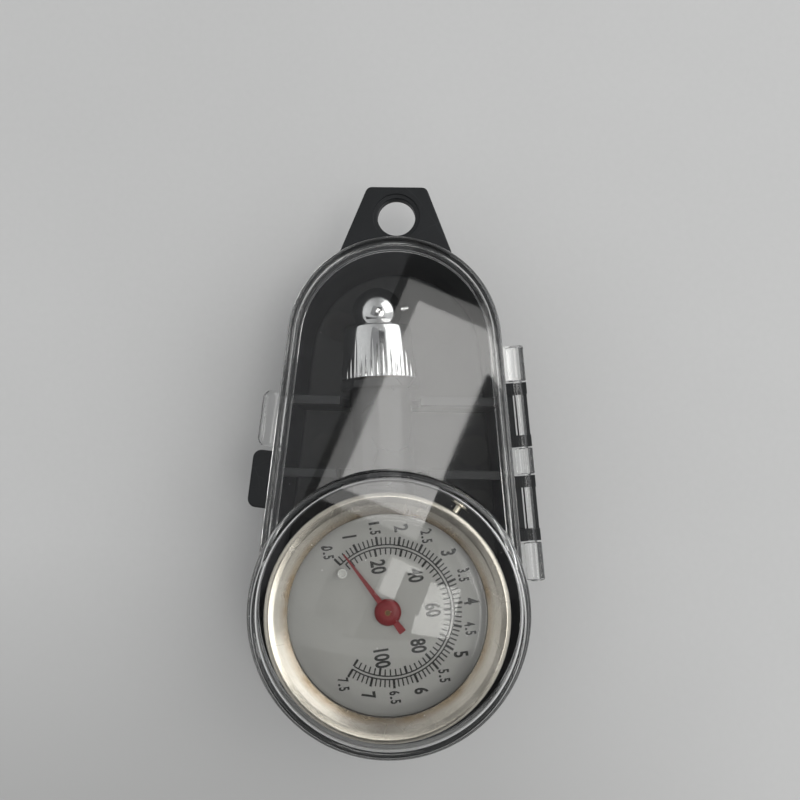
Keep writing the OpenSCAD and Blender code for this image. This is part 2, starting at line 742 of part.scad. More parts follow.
module socket_block() {
  color([0.72, 0.6, 0.32]) place_gauge() difference() {
    union() {
      translate([-block_w / 2, block_y, block_low]) cube([block_w, block_end - block_y, block_top - block_low]);
      translate([-tongue_w / 2, tongue_y, rear_z - 2.2]) cube([tongue_w, block_y - tongue_y + eps, 2.2]);
      translate([-foot_w / 2, block_y + 1, back_z + can_wall])
        cube([foot_w, block_end - block_y - 2, block_low - back_z - can_wall + eps]);
      translate([0, 0, stem_z]) rotate([-90, 0, 0]) rod(socket_neck_r, block_end - eps, core_start + neck_len - 0.4);
    }
    translate([0, 0, stem_z]) rotate([-90, 0, 0]) rod(bore_r, bore_y, core_start + neck_len + 1);
    translate([0, bore_y, tube_z]) cylinder(r = 1, h = stem_z - tube_z);
    translate([0, bore_y, tube_z]) rotate([0, 90, 0]) cylinder(r = 0.8, h = block_w / 2);
    translate([0, pipe_y, button_z]) rotate([0, 90, 0]) cylinder(r = pipe_r + fit, h = block_w);
    rotate(tube_start - 20) rotate_extrude(angle = 20 + eps) translate([tube_bend_r, tube_z])
      polygon(oval(tube_a + fit, tube_b + fit));
    for (y = back_screw_y) translate([0, y, 0]) rod(screw_r, back_z, back_z + 4.6);
    for (x = [-block_screw_x, block_screw_x]) translate([x, block_screw_y, 0]) rod(screw_r, rear_z - 3, rear_z + 1);
  }
}

module bourdon_tube() {
  color([0.8, 0.65, 0.35]) place_gauge() rotate(tube_end) rotate_extrude(angle = tube_sweep)
    translate([tube_bend_r, tube_z]) difference() {
      polygon(oval(tube_a, tube_b));
      polygon(oval(tube_a - tube_wall, tube_b - tube_wall));
    }
}

module tip_block() {
  ear_a = atan2(tip_p[1], tip_p[0]);
  reach = norm(tip_p);
  top = tube_z + tube_b + 0.3;
  color([0.72, 0.6, 0.32]) place_gauge() difference() {
    union() {
      rotate(tube_end + tip_cover - tip_arc) rotate_extrude(angle = tip_arc)
        translate([tube_bend_r - tube_a - 0.5, tube_z - tube_b - 0.3]) square([2 * tube_a + 1, 2 * tube_b + 0.6]);
      rotate(ear_a) translate([reach - 0.9, -0.9, top - 2]) cube([tube_bend_r - reach, 1.8, 2]);
    }
    rotate(tube_end) rotate_extrude(angle = tip_cover + 2) translate([tube_bend_r, tube_z])
      polygon(oval(tube_a + fit, tube_b + fit));
    translate(tip_p) rod(pin_r, top - 1.4, top + 1);
  }
}

module tip_pin() {
  color([0.6, 0.6, 0.58]) place_gauge() translate(tip_p) {
    rod(pin_r, tube_z + tube_b - 1.1, link_z + link_t + 0.1);
    rod(pin_r * 2, link_z + link_t + 0.1, link_z + link_t + 0.4);
  }
}

module tail_pin() {
  color([0.6, 0.6, 0.58]) place_gauge() translate(tail_p) {
    rod(pin_r, link_z - 0.06, sector_z + sector_t + 0.06);
    rod(pin_r * 2, link_z - 0.35, link_z - 0.06);
    rod(pin_r * 2, sector_z + sector_t, sector_z + sector_t + 0.3);
  }
}

module link() {
  span = tip_p - tail_p;
  color([0.8, 0.68, 0.4]) place_gauge() translate(concat(tail_p, [link_z]))
    rotate(atan2(span[1], span[0])) difference() {
      union() {
        cylinder(r = 0.95, h = link_t);
        translate([0, -0.5, 0]) cube([norm(span), 1, link_t]);
        translate([norm(span), 0, 0]) cylinder(r = 1.1, h = link_t);
      }
      rod(pin_r + pivot_gap, -1, link_t + 1);
      translate([norm(span), 0, 0]) rod(pin_r + link_gap, -1, link_t + 1);
    }
}

// ---- movement ----

// outline of one trapezoid tooth: half widths at root and tip, around direction a
function tooth(r_root, r_tip, w_root, w_tip, a) = [
  [r_root * cos(a) + w_root * sin(a), r_root * sin(a) - w_root * cos(a)],
  [r_tip * cos(a) + w_tip * sin(a), r_tip * sin(a) - w_tip * cos(a)],
  [r_tip * cos(a) - w_tip * sin(a), r_tip * sin(a) + w_tip * cos(a)],
  [r_root * cos(a) - w_root * sin(a), r_root * sin(a) + w_root * cos(a)]];

module sector_gear() {
  step = 360 / sector_whole;
  first = 2 - sector_teeth + 1;
  root_r = sector_r - 1.5 * gear_m;
  web_r = root_r - 1.2;
  face = sector_angle + 180;
  teeth = [for (k = [first : 2]) each tooth(root_r, sector_r + 0.73 * gear_m, 0.87 * gear_m,
    0.37 * gear_m, face + k * step)];
  inner = [for (k = [2 : -1 : first]) let (a = face + k * step) [web_r * cos(a), web_r * sin(a)]];
  color([0.8, 0.68, 0.4]) place_gauge() translate(concat(sector_p, [sector_z])) difference() {
    union() {
      linear_extrude(sector_t) polygon(concat(teeth, inner));
      for (a = [face + 1.2 * step, face + (first + 0.8) * step])
        rotate(a) translate([0, -0.55, 0]) cube([web_r + 0.6, 1.1, sector_t]);
      cylinder(r = 1.6, h = sector_t);
      rotate(tail_arm_angle) translate([0, -0.8, 0]) cube([tail_arm + 0.9, 1.6, sector_t]);
    }
    rod(arbor_r, -1, sector_t + 1);
    rotate(tail_arm_angle) translate([tail_arm, 0, 0]) rod(pin_r, -1, sector_t + 1);
  }
}

module sector_arbor() {
  color([0.65, 0.65, 0.66]) place_gauge() translate(sector_p) {
    rod(arbor_r, rear_z - 0.2, front_top_z + 0.2);
    rod(arbor_r * 1.9, rear_top_z + 0.1, sector_z);
  }
}

plate_outline = [[-5, -3.6], [-4, -4.6], [8.6, -4.6], [11.2, -1.8], [13.2, -1.6], [13.6, -1.2],
  [14.9, 2.6], [14.9, 5], [13.9, 6], [11.2, 6], [8.8, 4.6], [-4, 4.6], [-5, 3.6]];

module plate_holes(z) {
  along_movement() {
    rod(arbor_r + pivot_gap, z - 1, z + plate_t + 1);
    translate([gear_gap, 0, 0]) rod(arbor_r + pivot_gap, z - 1, z + plate_t + 1);
    for (p = pillars) translate(p) rod(screw_r, z - 1, z + plate_t + 1);
  }
}

module rear_plate() {
  color([0.78, 0.66, 0.38]) difference() {
    union() {
      along_movement() translate([0, 0, rear_z]) linear_extrude(plate_t) polygon(plate_outline);
      place_gauge() translate([-tongue_w / 2, tongue_y + 0.3, rear_z]) cube([tongue_w, 6.2, plate_t]);
    }
    plate_holes(rear_z);
    place_gauge() for (x = [-block_screw_x, block_screw_x])
      translate([x, block_screw_y, 0]) rod(screw_r, rear_z - 1, rear_top_z + 1);
  }
}

module front_plate() {
  color([0.78, 0.66, 0.38]) difference() {
    along_movement() translate([0, 0, front_z]) linear_extrude(plate_t) polygon(plate_outline);
    plate_holes(front_z);
  }
}

module plate_pillars() {
  color([0.75, 0.63, 0.35]) along_movement() for (p = pillars) translate(p) {
    rod(pillar_r, rear_top_z, front_z);
    rod(screw_r, rear_z, rear_top_z);
  }
}

module slotted_head(z, r, t) {
  difference() {
    rod(r, z, z + t);
    translate([-r, -0.15, z + t - 0.25]) cube([2 * r, 0.3, 1]);
  }
}

module plate_screws() {
  color([0.66, 0.66, 0.66]) along_movement() for (p = pillars) translate(p) {
    rod(screw_r, front_z, front_top_z + eps);
    slotted_head(front_top_z, screw_head_r * 0.8, 0.45);
  }
}

module block_screws() {
  color([0.66, 0.66, 0.66]) place_gauge() for (x = [-block_screw_x, block_screw_x])
    translate([x, block_screw_y, 0]) {
      rod(screw_r, rear_z - 2, rear_top_z + eps);
      slotted_head(rear_top_z, screw_head_r, screw_head_t);
    }
}

module hairspring() {
  turns = 4;
  r0 = 1.15;
  r1 = 3;
  half = 0.06;
  n = 24 * turns;
  side = [for (s = [-1, 1]) [for (i = [0 : n]) let (a = 360 * turns * i / n, r = r0 + (r1 - r0) * i / n + s * half)
    [r * cos(a), r * sin(a)]]];
  color([0.75, 0.6, 0.3]) place_gauge() {
    translate([0, 0, spring_z]) linear_extrude(0.4)
      polygon(concat(side[0], [for (i = [n : -1 : 0]) side[1][i]]));
    translate([r1 + half + 0.3, 0, 0]) rod(0.3, rear_top_z, spring_z + 0.5);
  }
}

module pointer_arbor() {
  teeth = [for (k = [0 : pinion_teeth - 1]) each tooth(pinion_r - 1.4 * gear_m, pinion_r + 0.73 * gear_m,
    0.8 * gear_m, 0.37 * gear_m, sector_angle + 360 * (k + 0.5) / pinion_teeth)];
  color([0.7, 0.66, 0.5]) place_gauge() {
    rod(arbor_r, rear_z - 0.2, dial_z + pointer_rise + 1.1);
    translate([0, 0, sector_z - 0.2]) linear_extrude(pinion_h) polygon(teeth);
    rod(0.95, spring_z - 0.1, sector_z - 0.2);
  }
}

module pointer_bush() {
  color([0.8, 0.66, 0.3]) place_gauge() difference() {
    rod(bush_r, dial_z + 0.3, dial_z + pointer_rise + 0.85);
    rod(arbor_r, dial_z, dial_z + pointer_rise + 2);
  }
}

module pointer() {
  z = dial_z + pointer_rise;
  color([0.8, 0.1, 0.08]) place_gauge() difference() {
    union() {
      rod(hub_r, z - 0.1, z + 0.5);
      rotate(pointer_angle) translate([0, 0, z]) linear_extrude(pointer_t)
        polygon([[-tail_len, -tail_w / 2], [-hub_r + 0.4, -pointer_w / 2], [hub_r - 0.4, -pointer_w / 2],
          [pointer_len, -pointer_tip_w / 2], [pointer_len, pointer_tip_w / 2], [hub_r - 0.4, pointer_w / 2],
          [-hub_r + 0.4, pointer_w / 2], [-tail_len, tail_w / 2]]);
    }
    rod(bush_r, z - 1, z + 1);
  }
}

// ---- stem and chuck ----

module stem_core() {
  color([0.78, 0.68, 0.4]) along_stem() rotate_extrude() polygon([
    [socket_neck_r + fit, core_start], [core_r, core_start], [core_r, collar_end], [thread_r, collar_end],
    [thread_r, thread_end - 0.5], [thread_r - 0.5, thread_end], [chamber_r, thread_end],
    [chamber_r, chamber_s], [1.5, chamber_s], [1.5, core_start + neck_len], [socket_neck_r + fit, core_start + neck_len]]);
}

module stem_sleeve() {
  edge = 0.6;
  color([0.06, 0.065, 0.07]) along_stem() rotate_extrude() polygon([
    [core_r + fit, core_start], [sleeve_r - edge, core_start], [sleeve_r, core_start + edge],
    [sleeve_r, sleeve_end], [core_r + fit, sleeve_end]]);
}

module stem_collar() {
  edge = 0.4;
  color([0.07, 0.07, 0.075]) along_stem() rotate_extrude() polygon([
    [core_r + fit, sleeve_end], [collar_r - edge, sleeve_end], [collar_r, sleeve_end + edge],
    [collar_r, collar_end - edge], [collar_r - edge, collar_end], [core_r + fit, collar_end]]);
}

module valve_seat() {
  color([0.8, 0.7, 0.4]) along_stem() ring(chamber_r, bore_r, seat_s, seat_s + seat_len);
}

module poppet() {
  color([0.25, 0.25, 0.25]) along_stem() {
    rod(poppet_r, poppet_s - poppet_head, poppet_s);
    rod(poppet_stem_r, chamber_s + poppet_travel + 1.2, poppet_s - poppet_head + eps);
  }
}

module poppet_spring() {
  color([0.75, 0.75, 0.76]) along_stem() translate([0, 0, chamber_s + 0.05])
    wound_spring(poppet_coil_r, wire_r, poppet_s - poppet_head - chamber_s - 0.1, 8);
}

module chuck_nut() {
  lean = atan((nut_foot_r - nut_top_r) / nut_len);
  edge = 0.7;
  flute_r = 0.55;
  color([0.85, 0.85, 0.86]) along_stem() difference() {
    rotate_extrude() polygon(concat([[thread_r + fit, nut_start], [nut_foot_r, nut_start]],
      arc(nut_top_r - edge, nut_end - edge, edge, 0, 90),
      [[neck_r + pivot_gap, nut_end], [neck_r + pivot_gap, nut_end - nut_lip],
       [neck_flange_r + 0.2, nut_end - nut_lip], [neck_flange_r + 0.2, thread_end + 0.1],
       [thread_r + fit, thread_end + 0.1]]));
    for (i = [0 : flutes - 1]) rotate(360 * (i + 0.5) / flutes)
      translate([nut_foot_r + flute_r - flute_depth, 0, nut_start]) rotate([0, -lean, 0])
        translate([0, 0, -1]) cylinder(r = flute_r, h = nut_len - edge);
  }
}

module neck_seal() {
  color([0.12, 0.12, 0.12]) along_stem() ring(neck_flange_r, neck_seal_in_r, thread_end + 0.05, flange_s - 0.05);
}

module chuck_ball() {
  color([0.85, 0.85, 0.86]) difference() {
    along_stem() union() {
      intersection() {
        translate([0, 0, ball_s]) sphere(r = ball_r);
        translate([-ball_r - 1, -ball_r - 1, ball_cut]) cube([2 * ball_r + 2, 2 * ball_r + 2, 3 * ball_r]);
      }
      rod(neck_r, flange_s, ball_cut + 0.5);
      rod(neck_flange_r, flange_s, flange_s + flange_len);
    }
    along_stem() rod(bore_r, flange_s - 1, ball_s);
    along_mouth() rod(mouth_bore_r, 0, mouth_floor + 0.1);
    along_mouth() rod(mouth_r, mouth_floor, ball_r + 1);
    along_stem() translate([0, 0, ball_s]) rotate([0, 90 - nub_angle, 0]) rod(nub_r, nub_root, ball_r + 1);
  }
}

module chuck_washer() {
  color([0.1, 0.1, 0.1]) along_mouth() ring(mouth_r - fit, washer_in_r, mouth_floor, mouth_floor + washer_t);
}

module depressor_pin() {
  color([0.8, 0.7, 0.4]) along_mouth() {
    rod(depressor_r, mouth_floor, mouth_floor + washer_t + depressor_out);
    translate([-depressor_bar[0] / 2, -depressor_bar[1] / 2, mouth_floor]) cube(depressor_bar);
  }
}

module deflator_nub() {
  color([0.85, 0.85, 0.86]) along_stem() translate([0, 0, ball_s]) rotate([0, 90 - nub_angle, 0]) difference() {
    rod(nub_r, nub_root, nub_reach);
    rod(nub_r * 0.45, nub_reach - nub_bore, nub_reach + 1);
  }
}

// ---- release valve ----

module valve_body() {
  color([0.78, 0.68, 0.4]) difference() {
    along_button() rotate_extrude() polygon([
      [0, valve_start], [valve_r, valve_start], [valve_r, valve_end], [shank_r + shank_gap, valve_end],
      [shank_r + shank_gap, valve_front], [valve_chamber_r, valve_front],
      [valve_chamber_r, valve_start + valve_back], [0, valve_start + valve_back]]);
    place_gauge() translate([block_w / 2, pipe_y, button_z]) rotate([0, 90, 0])
      cylinder(r = pipe_r + fit, h = pipe_end + pipe_hole - block_w / 2);
  }
}

module valve_nut() {
  color([0.8, 0.79, 0.74]) along_button() difference() {
    rod(valve_r + 0.8, can_r + 0.15, valve_end, $fn = 6);
    rod(valve_r + fit, can_r - 1, valve_end + 1);
  }
}

module bleed_pipe() {
  color([0.8, 0.6, 0.4]) place_gauge() translate([pipe_start, pipe_y, button_z]) rotate([0, 90, 0])
    ring(pipe_r, pipe_r - 0.3, 0, pipe_end - pipe_start);
}

module release_button() {
  edge = 0.2;
  color([0.8, 0.77, 0.68]) along_button() rotate_extrude() polygon([
    [0, disc_s - 0.4], [0.5, disc_s - 0.4], [0.5, disc_s], [disc_r, disc_s],
    [disc_r, disc_s + disc_t], [shank_r, disc_s + disc_t], [shank_r, button_reach - flange_t],
    [flange_r - edge, button_reach - flange_t], [flange_r, button_reach - flange_t + edge],
    [flange_r, button_reach - edge], [flange_r - edge, button_reach], [0, button_reach]]);
}

module button_seal() {
  color([0.1, 0.1, 0.1]) along_button()
    ring(disc_r, shank_r, disc_s + disc_t, disc_s + disc_t + seal_t);
}

module button_spring() {
  color([0.75, 0.75, 0.76]) along_button() translate([0, 0, valve_start + valve_back + 0.05])
    wound_spring(button_coil_r, button_wire_r, disc_s - valve_start - valve_back - 0.1, 6);
}

tray();
lid();
gauge_can();
bezel();
lens();
lens_gasket();
dial_ring();
dial_plate();
stop_pin();
back_screws();
socket_block();
bourdon_tube();
tip_block();
tip_pin();
link();
tail_pin();
sector_gear();
sector_arbor();
rear_plate();
front_plate();
plate_pillars();
plate_screws();
block_screws();
hairspring();
pointer_arbor();
pointer_bush();
pointer();
stem_core();
stem_sleeve();
stem_collar();
valve_seat();
poppet();
poppet_spring();
chuck_nut();
neck_seal();
chuck_ball();
chuck_washer();
depressor_pin();
deflator_nub();
valve_body();
valve_nut();
bleed_pipe();
release_button();
button_seal();
button_spring();
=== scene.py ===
import json
import math
import bmesh
import bpy
from mathutils import Matrix, Vector

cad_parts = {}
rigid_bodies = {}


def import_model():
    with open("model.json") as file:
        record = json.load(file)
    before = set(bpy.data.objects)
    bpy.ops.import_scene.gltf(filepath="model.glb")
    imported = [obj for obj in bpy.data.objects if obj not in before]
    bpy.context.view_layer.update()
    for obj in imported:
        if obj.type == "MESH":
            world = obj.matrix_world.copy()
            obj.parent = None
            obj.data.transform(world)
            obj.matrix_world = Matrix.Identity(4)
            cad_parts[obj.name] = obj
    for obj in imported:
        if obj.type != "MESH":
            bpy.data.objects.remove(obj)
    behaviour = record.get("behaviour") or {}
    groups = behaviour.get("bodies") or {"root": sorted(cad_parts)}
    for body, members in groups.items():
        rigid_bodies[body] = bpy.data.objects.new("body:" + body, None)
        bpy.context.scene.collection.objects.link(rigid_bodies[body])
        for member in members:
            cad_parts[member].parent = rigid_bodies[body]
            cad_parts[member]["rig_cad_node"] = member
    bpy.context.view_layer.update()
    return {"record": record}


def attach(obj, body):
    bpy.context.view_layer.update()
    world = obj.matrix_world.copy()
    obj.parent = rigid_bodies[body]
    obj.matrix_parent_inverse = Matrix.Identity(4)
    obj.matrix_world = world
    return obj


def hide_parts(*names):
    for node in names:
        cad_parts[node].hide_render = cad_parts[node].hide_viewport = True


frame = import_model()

mm = 0.001

# places of the gauge inside the case, in millimetres
gauge = {"x": -0.4, "y": -1.2, "turn": 3.2, "stemZ": 15.0, "buttonZ": 17.0, "buttonTurn": 52.5,
         "ballAt": 64.65, "mouthTilt": 30.0}
quarter = math.radians(90)
upright = Matrix.Identity(4)
headTurn = Matrix.Rotation(math.radians(gauge["turn"]), 4, "Z")
placeHead = Matrix.Translation((gauge["x"], gauge["y"], 0)) @ headTurn
alongStem = placeHead @ Matrix.Translation((0, 0, gauge["stemZ"])) @ Matrix.Rotation(-quarter, 4, "X")
alongButton = (placeHead @ Matrix.Translation((0, 0, gauge["buttonZ"]))
               @ Matrix.Rotation(math.radians(gauge["buttonTurn"]), 4, "Z")
               @ Matrix.Rotation(quarter, 4, "Y"))
atBall = alongStem @ Matrix.Translation((0, 0, gauge["ballAt"]))
alongMouth = atBall @ Matrix.Rotation(math.radians(gauge["mouthTilt"] - 90), 4, "X")


def arcPoints(cx, cy, radius, start, end, steps):
    return [(cx + radius * math.cos(math.radians(start + (end - start) * i / steps)),
             cy + radius * math.sin(math.radians(start + (end - start) * i / steps)))
            for i in range(steps + 1)]


def between(a, b, steps):
    # the points inside a straight line from a to b
    return [(a[0] + (b[0] - a[0]) * i / steps, a[1] + (b[1] - a[1]) * i / steps) for i in range(1, steps)]


def softened(points, closed=True):
    # points are (x, y) or (x, y, corner radius)
    out = []
    for i, point in enumerate(points):
        here = Vector(point[:2])
        if len(point) < 3 or (not closed and i in (0, len(points) - 1)):
            out.append(tuple(here))
            continue
        back = Vector(points[i - 1][:2]) - here
        on = Vector(points[(i + 1) % len(points)][:2]) - here
        half = back.angle(on) / 2
        reach = min(point[2] / math.tan(half), 0.49 * back.length, 0.49 * on.length)
        centre = here + (back.normalized() + on.normalized()).normalized() * reach / math.cos(half)
        a = here + back.normalized() * reach - centre
        b = here + on.normalized() * reach - centre
        sweep = a.angle(b)
        steps = max(2, int(sweep / 0.25))
        for k in range(steps + 1):
            t = k / steps
            swung = a * math.sin((1 - t) * sweep) + b * math.sin(t * sweep)
            out.append(tuple(centre + swung / math.sin(sweep)))
    return out


def lathe(profile, steps=192):
    # a closed profile of (radius, height) turned about Z
    verts, faces, rings = [], [], []
    for radius, height in profile:
        if radius < 1e-5:
            rings.append([len(verts)])
            verts.append((0, 0, height))
        else:
            rings.append(list(range(len(verts), len(verts) + steps)))
            angles = [math.tau * i / steps for i in range(steps)]
            verts += [(radius * math.cos(a), radius * math.sin(a), height) for a in angles]
    for k, a in enumerate(rings):
        b = rings[(k + 1) % len(rings)]
        for i in range(steps if len(a) + len(b) > 2 else 0):
            j = (i + 1) % steps
            if len(a) == 1:
                faces.append((a[0], b[i], b[j]))
            elif len(b) == 1:
                faces.append((a[i], b[0], a[j]))
            else:
                faces.append((a[i], b[i], b[j], a[j]))
    return verts, faces


def rod(radius, low, high, steps=48):
    return lathe([(0, low), (radius, low), (radius, high), (0, high)], steps)


def loft(rings):
    # rings of equal length, closed with a flat face at each end
    count = len(rings[0])
    verts = [point for ring in rings for point in ring]
    faces = [(k * count + i, k * count + (i + 1) % count,
              (k + 1) * count + (i + 1) % count, (k + 1) * count + i)
             for k in range(len(rings) - 1) for i in range(count)]
    faces.append(tuple(range(count)))
    faces.append(tuple(range((len(rings) - 1) * count, len(rings) * count)))
    return verts, faces


def slab(outline, low, high, edge=0.0):
    # an outline raised from low to high, with edges softened by a small round
    if not edge:
        return loft([[(x, y, low) for x, y in outline], [(x, y, high) for x, y in outline]])
    rounds = [(edge * (1 - math.sin(a)), edge * (1 - math.cos(a))) for a in (0.6, 1.1)]
    levels = [(edge, low)] + [(inset, low + rise) for inset, rise in rounds]
    levels += [(0, low + edge), (0, high - edge)]
    levels += [(inset, high - rise) for inset, rise in rounds[::-1]] + [(edge, high)]
    return loft([[(x, y, height) for x, y in shrunk(outline, inset)] for inset, height in levels])


def shrunk(outline, inset):
    # every corner moved inwards along its own bisector
    if not inset:
        return outline
    area = sum(a[0] * b[1] - b[0] * a[1] for a, b in zip(outline, outline[1:] + outline[:1]))
    turn = 1 if area > 0 else -1
    out = []
    for i, point in enumerate(outline):
        here = Vector(point)
        back = (here - Vector(outline[i - 1])).normalized()
        on = (Vector(outline[(i + 1) % len(outline)]) - here).normalized()
        inward = Vector((-back.y - on.y, back.x + on.x)) * turn
        inward.normalize()
        lean = max(0.3, inward.dot(Vector((-back.y, back.x)) * turn))
        out.append(tuple(here + inward * inset / lean))
    return out


def box(low, high):
    return loft([[(low[0], low[1], z), (high[0], low[1], z), (high[0], high[1], z), (low[0], high[1], z)]
                 for z in (low[2], high[2])])


def moved(shape, place):
    return [tuple(place @ Vector(v)) for v in shape[0]], shape[1]


def together(*shapes):
    verts, faces = [], []
    for shape in shapes:
        faces += [tuple(i + len(verts) for i in face) for face in shape[1]]
        verts += list(shape[0])
    return verts, faces


def meshOf(shape, name="shape"):
    mesh = bpy.data.meshes.new(name)
    mesh.from_pydata([Vector(v) for v in shape[0]], [], shape[1])
    work = bmesh.new()
    work.from_mesh(mesh)
    bmesh.ops.remove_doubles(work, verts=work.verts, dist=1e-5)
    bmesh.ops.recalc_face_normals(work, faces=work.faces)
    work.to_mesh(mesh)
    work.free()
    return mesh


def carved(shape, *steps):
    # steps are ("UNION" or "DIFFERENCE", shape)
    body = bpy.data.objects.new("carving", meshOf(shape))
    bpy.context.collection.objects.link(body)
    tools = []
    for word, tool in steps:
        helper = bpy.data.objects.new("tool", meshOf(tool))
        bpy.context.collection.objects.link(helper)
        cut = body.modifiers.new("cut", "BOOLEAN")
        cut.operation, cut.solver, cut.object = word, "MANIFOLD", helper
        tools.append(helper)
    plain = plainMesh(body)
    for thing in tools + [body]:
        bpy.data.objects.remove(thing)
    return [tuple(v.co) for v in plain.vertices], [tuple(p.vertices) for p in plain.polygons]


def plainMesh(thing):
    graph = bpy.context.evaluated_depsgraph_get()
    graph.update()
    return bpy.data.meshes.new_from_object(thing.evaluated_get(graph), preserve_all_data_layers=True,
                                           depsgraph=graph)


def piece(name, shape, body, finish, stands=(), place=upright, sharp=32):
    thing = bpy.data.objects.new(name, meshOf(shape, name))
    bpy.context.collection.objects.link(thing)
    thing.data.transform(Matrix.Scale(mm, 4) @ place)
    thing.data.materials.append(finish.material)
    for face in thing.data.polygons:
        face.use_smooth = True
    thing.data.set_sharp_from_angle(angle=math.radians(sharp))
    weigh = thing.modifiers.new("weigh", "WEIGHTED_NORMAL")
    weigh.keep_sharp = True
    thing.data = plainMesh(thing)
    thing.modifiers.clear()
    thing.data.name = name
    if stands:
        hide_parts(*stands)
    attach(thing, body)
    return thing


class Wire:
    # one output socket that can be worked with like a number
    def __init__(self, finish, socket):
        self.finish, self.socket = finish, socket

    def join(self, operation, first, second):
        return self.finish.add("ShaderNodeMath", {"operation": operation}, {0: first, 1: second})

    def __add__(self, other):
        return self.join("ADD", self, other)

    def __radd__(self, other):
        return self.join("ADD", other, self)

    def __mul__(self, other):
        return self.join("MULTIPLY", self, other)

    def __rmul__(self, other):
        return self.join("MULTIPLY", other, self)

    def atLeast(self, other):
        return self.join("MAXIMUM", self, other)

    def atMost(self, other):
        return self.join("MINIMUM", self, other)


class Finish:
    def __init__(self, slot, **sockets):
        self.slot = slot
        self.material = bpy.data.materials.new(slot)
        self.material.use_nodes = True
        self.nodes = self.material.node_tree.nodes
        self.links = self.material.node_tree.links
        self.shader = self.nodes["Principled BSDF"]
        self.place = None
        for name, value in sockets.items():
            self.put(name, value)

    def put(self, name, value):
        # the camelCase name of a socket: baseColor is Base Color
        found = next(socket for socket in self.shader.inputs
                     if socket.name.replace(" ", "").lower() == name.lower())
        self.feed(found, value)

    def feed(self, socket, value):
        if isinstance(value, Wire):
            self.links.new(value.socket, socket)
        elif isinstance(value, (tuple, list)) and len(value) == 3 and socket.type == "RGBA":
            socket.default_value = (*value, 1)
        else:
            socket.default_value = value

    def add(self, kind, settings=None, inputs=None, output=0):
        node = self.nodes.new(kind)
        for name, value in (settings or {}).items():
            setattr(node, name, value)
        for name, value in (inputs or {}).items():
            self.feed(node.inputs[name], value)
        return Wire(self, node.outputs[output])

    def spot(self):
        if self.place is None:
            self.place = self.add("ShaderNodeTexCoord", output="Object")
        return self.place

    def turned(self, scale=(1, 1, 1), angle=(0, 0, 0), at=(0, 0, 0)):
        return self.add("ShaderNodeMapping", {}, {"Vector": self.spot(), "Scale": scale, "Rotation": angle,
                                                  "Location": at})

    def noise(self, size, detail=3.0, place=None):
        # size is the width of a blotch in millimetres
        return self.add("ShaderNodeTexNoise", {}, {"Vector": place or self.spot(), "Scale": 1000 / size,
                                                   "Detail": detail, "Roughness": 0.55})

    def spread(self, value, low, high, newLow=0.0, newHigh=1.0):
        return self.add("ShaderNodeMapRange", {}, {"Value": value, "From Min": low, "From Max": high,
                                                   "To Min": newLow, "To Max": newHigh})

    def tint(self, share, first, second):
        return self.add("ShaderNodeMix", {"data_type": "RGBA"},
                        {"Factor": share, 6: first, 7: second}, output=2)

    def height(self):
        return self.add("ShaderNodeSeparateXYZ", {}, {"Vector": self.spot()}, output="Z")

    def lines(self, size, width, place=None):
        # thin wandering scratches, 1 on a scratch
        drift = self.add("ShaderNodeTexNoise", {}, {"Vector": self.spot(), "Scale": 1000 / (size * 1.7),
                                                    "Detail": 1.0}, output="Color")
        drift = self.add("ShaderNodeVectorMath", {"operation": "SCALE"}, {0: drift, "Scale": size * mm * 0.8})
        wander = self.add("ShaderNodeVectorMath", {"operation": "ADD"}, {0: place or self.spot(), 1: drift})
        edge = self.add("ShaderNodeTexVoronoi", {"feature": "DISTANCE_TO_EDGE"},
                        {"Vector": wander, "Scale": 1000 / size}, output="Distance")
        return self.spread(edge, width * 0.3, width, 1.0, 0.0)

    def bump(self, height, strength, distance):
        # distance is the depth in millimetres
        return self.add("ShaderNodeBump", {}, {"Height": height, "Strength": strength,
                                               "Distance": distance * mm})


def surface(slot, colour, second, rough, grain, smudge, relief=(0.004, 0.4), wear=None, paintedShade=None,
            **sockets):
    # grain and smudges between two colours and two roughnesses, with a fine relief of (depth, strength);
    # wear is (share, colour) of thin scuffs; the next argument, (full height, clear height, colour), is
    # painted shade that browns the colour low down in place of a dark reflection
    finish = Finish(slot, **sockets)
    fine = finish.noise(grain, 4.0)
    broad = finish.noise(smudge, 3.0)
    shade = finish.tint(finish.spread(fine * 0.45 + broad * 0.55, 0.36, 0.64), colour, second)
    roughness = finish.spread(broad * 0.6 + fine * 0.4, 0.35, 0.65, rough[0], rough[1])
    if wear:
        scuffs = finish.lines(smudge * 0.8, 0.012) * finish.spread(finish.noise(smudge * 0.7), 0.5, 0.62)
        shade = finish.tint(scuffs * wear[0], shade, wear[1])
        roughness = roughness + scuffs * 0.12
    # painted shade: below the given heights the colour turns brown, standing in for the dark reflection on
    # the bezel's inner slope
    if paintedShade:
        reach = finish.spread(finish.height(), paintedShade[0] * mm, paintedShade[1] * mm, 1.0, 0.0)
        shade = finish.tint(reach * finish.spread(broad, 0.4, 0.6, 0.45, 0.9), shade, paintedShade[2])
    finish.put("baseColor", shade)
    finish.put("roughness", roughness)
    finish.put("normal", finish.bump(fine, relief[1], relief[0]))
    return finish


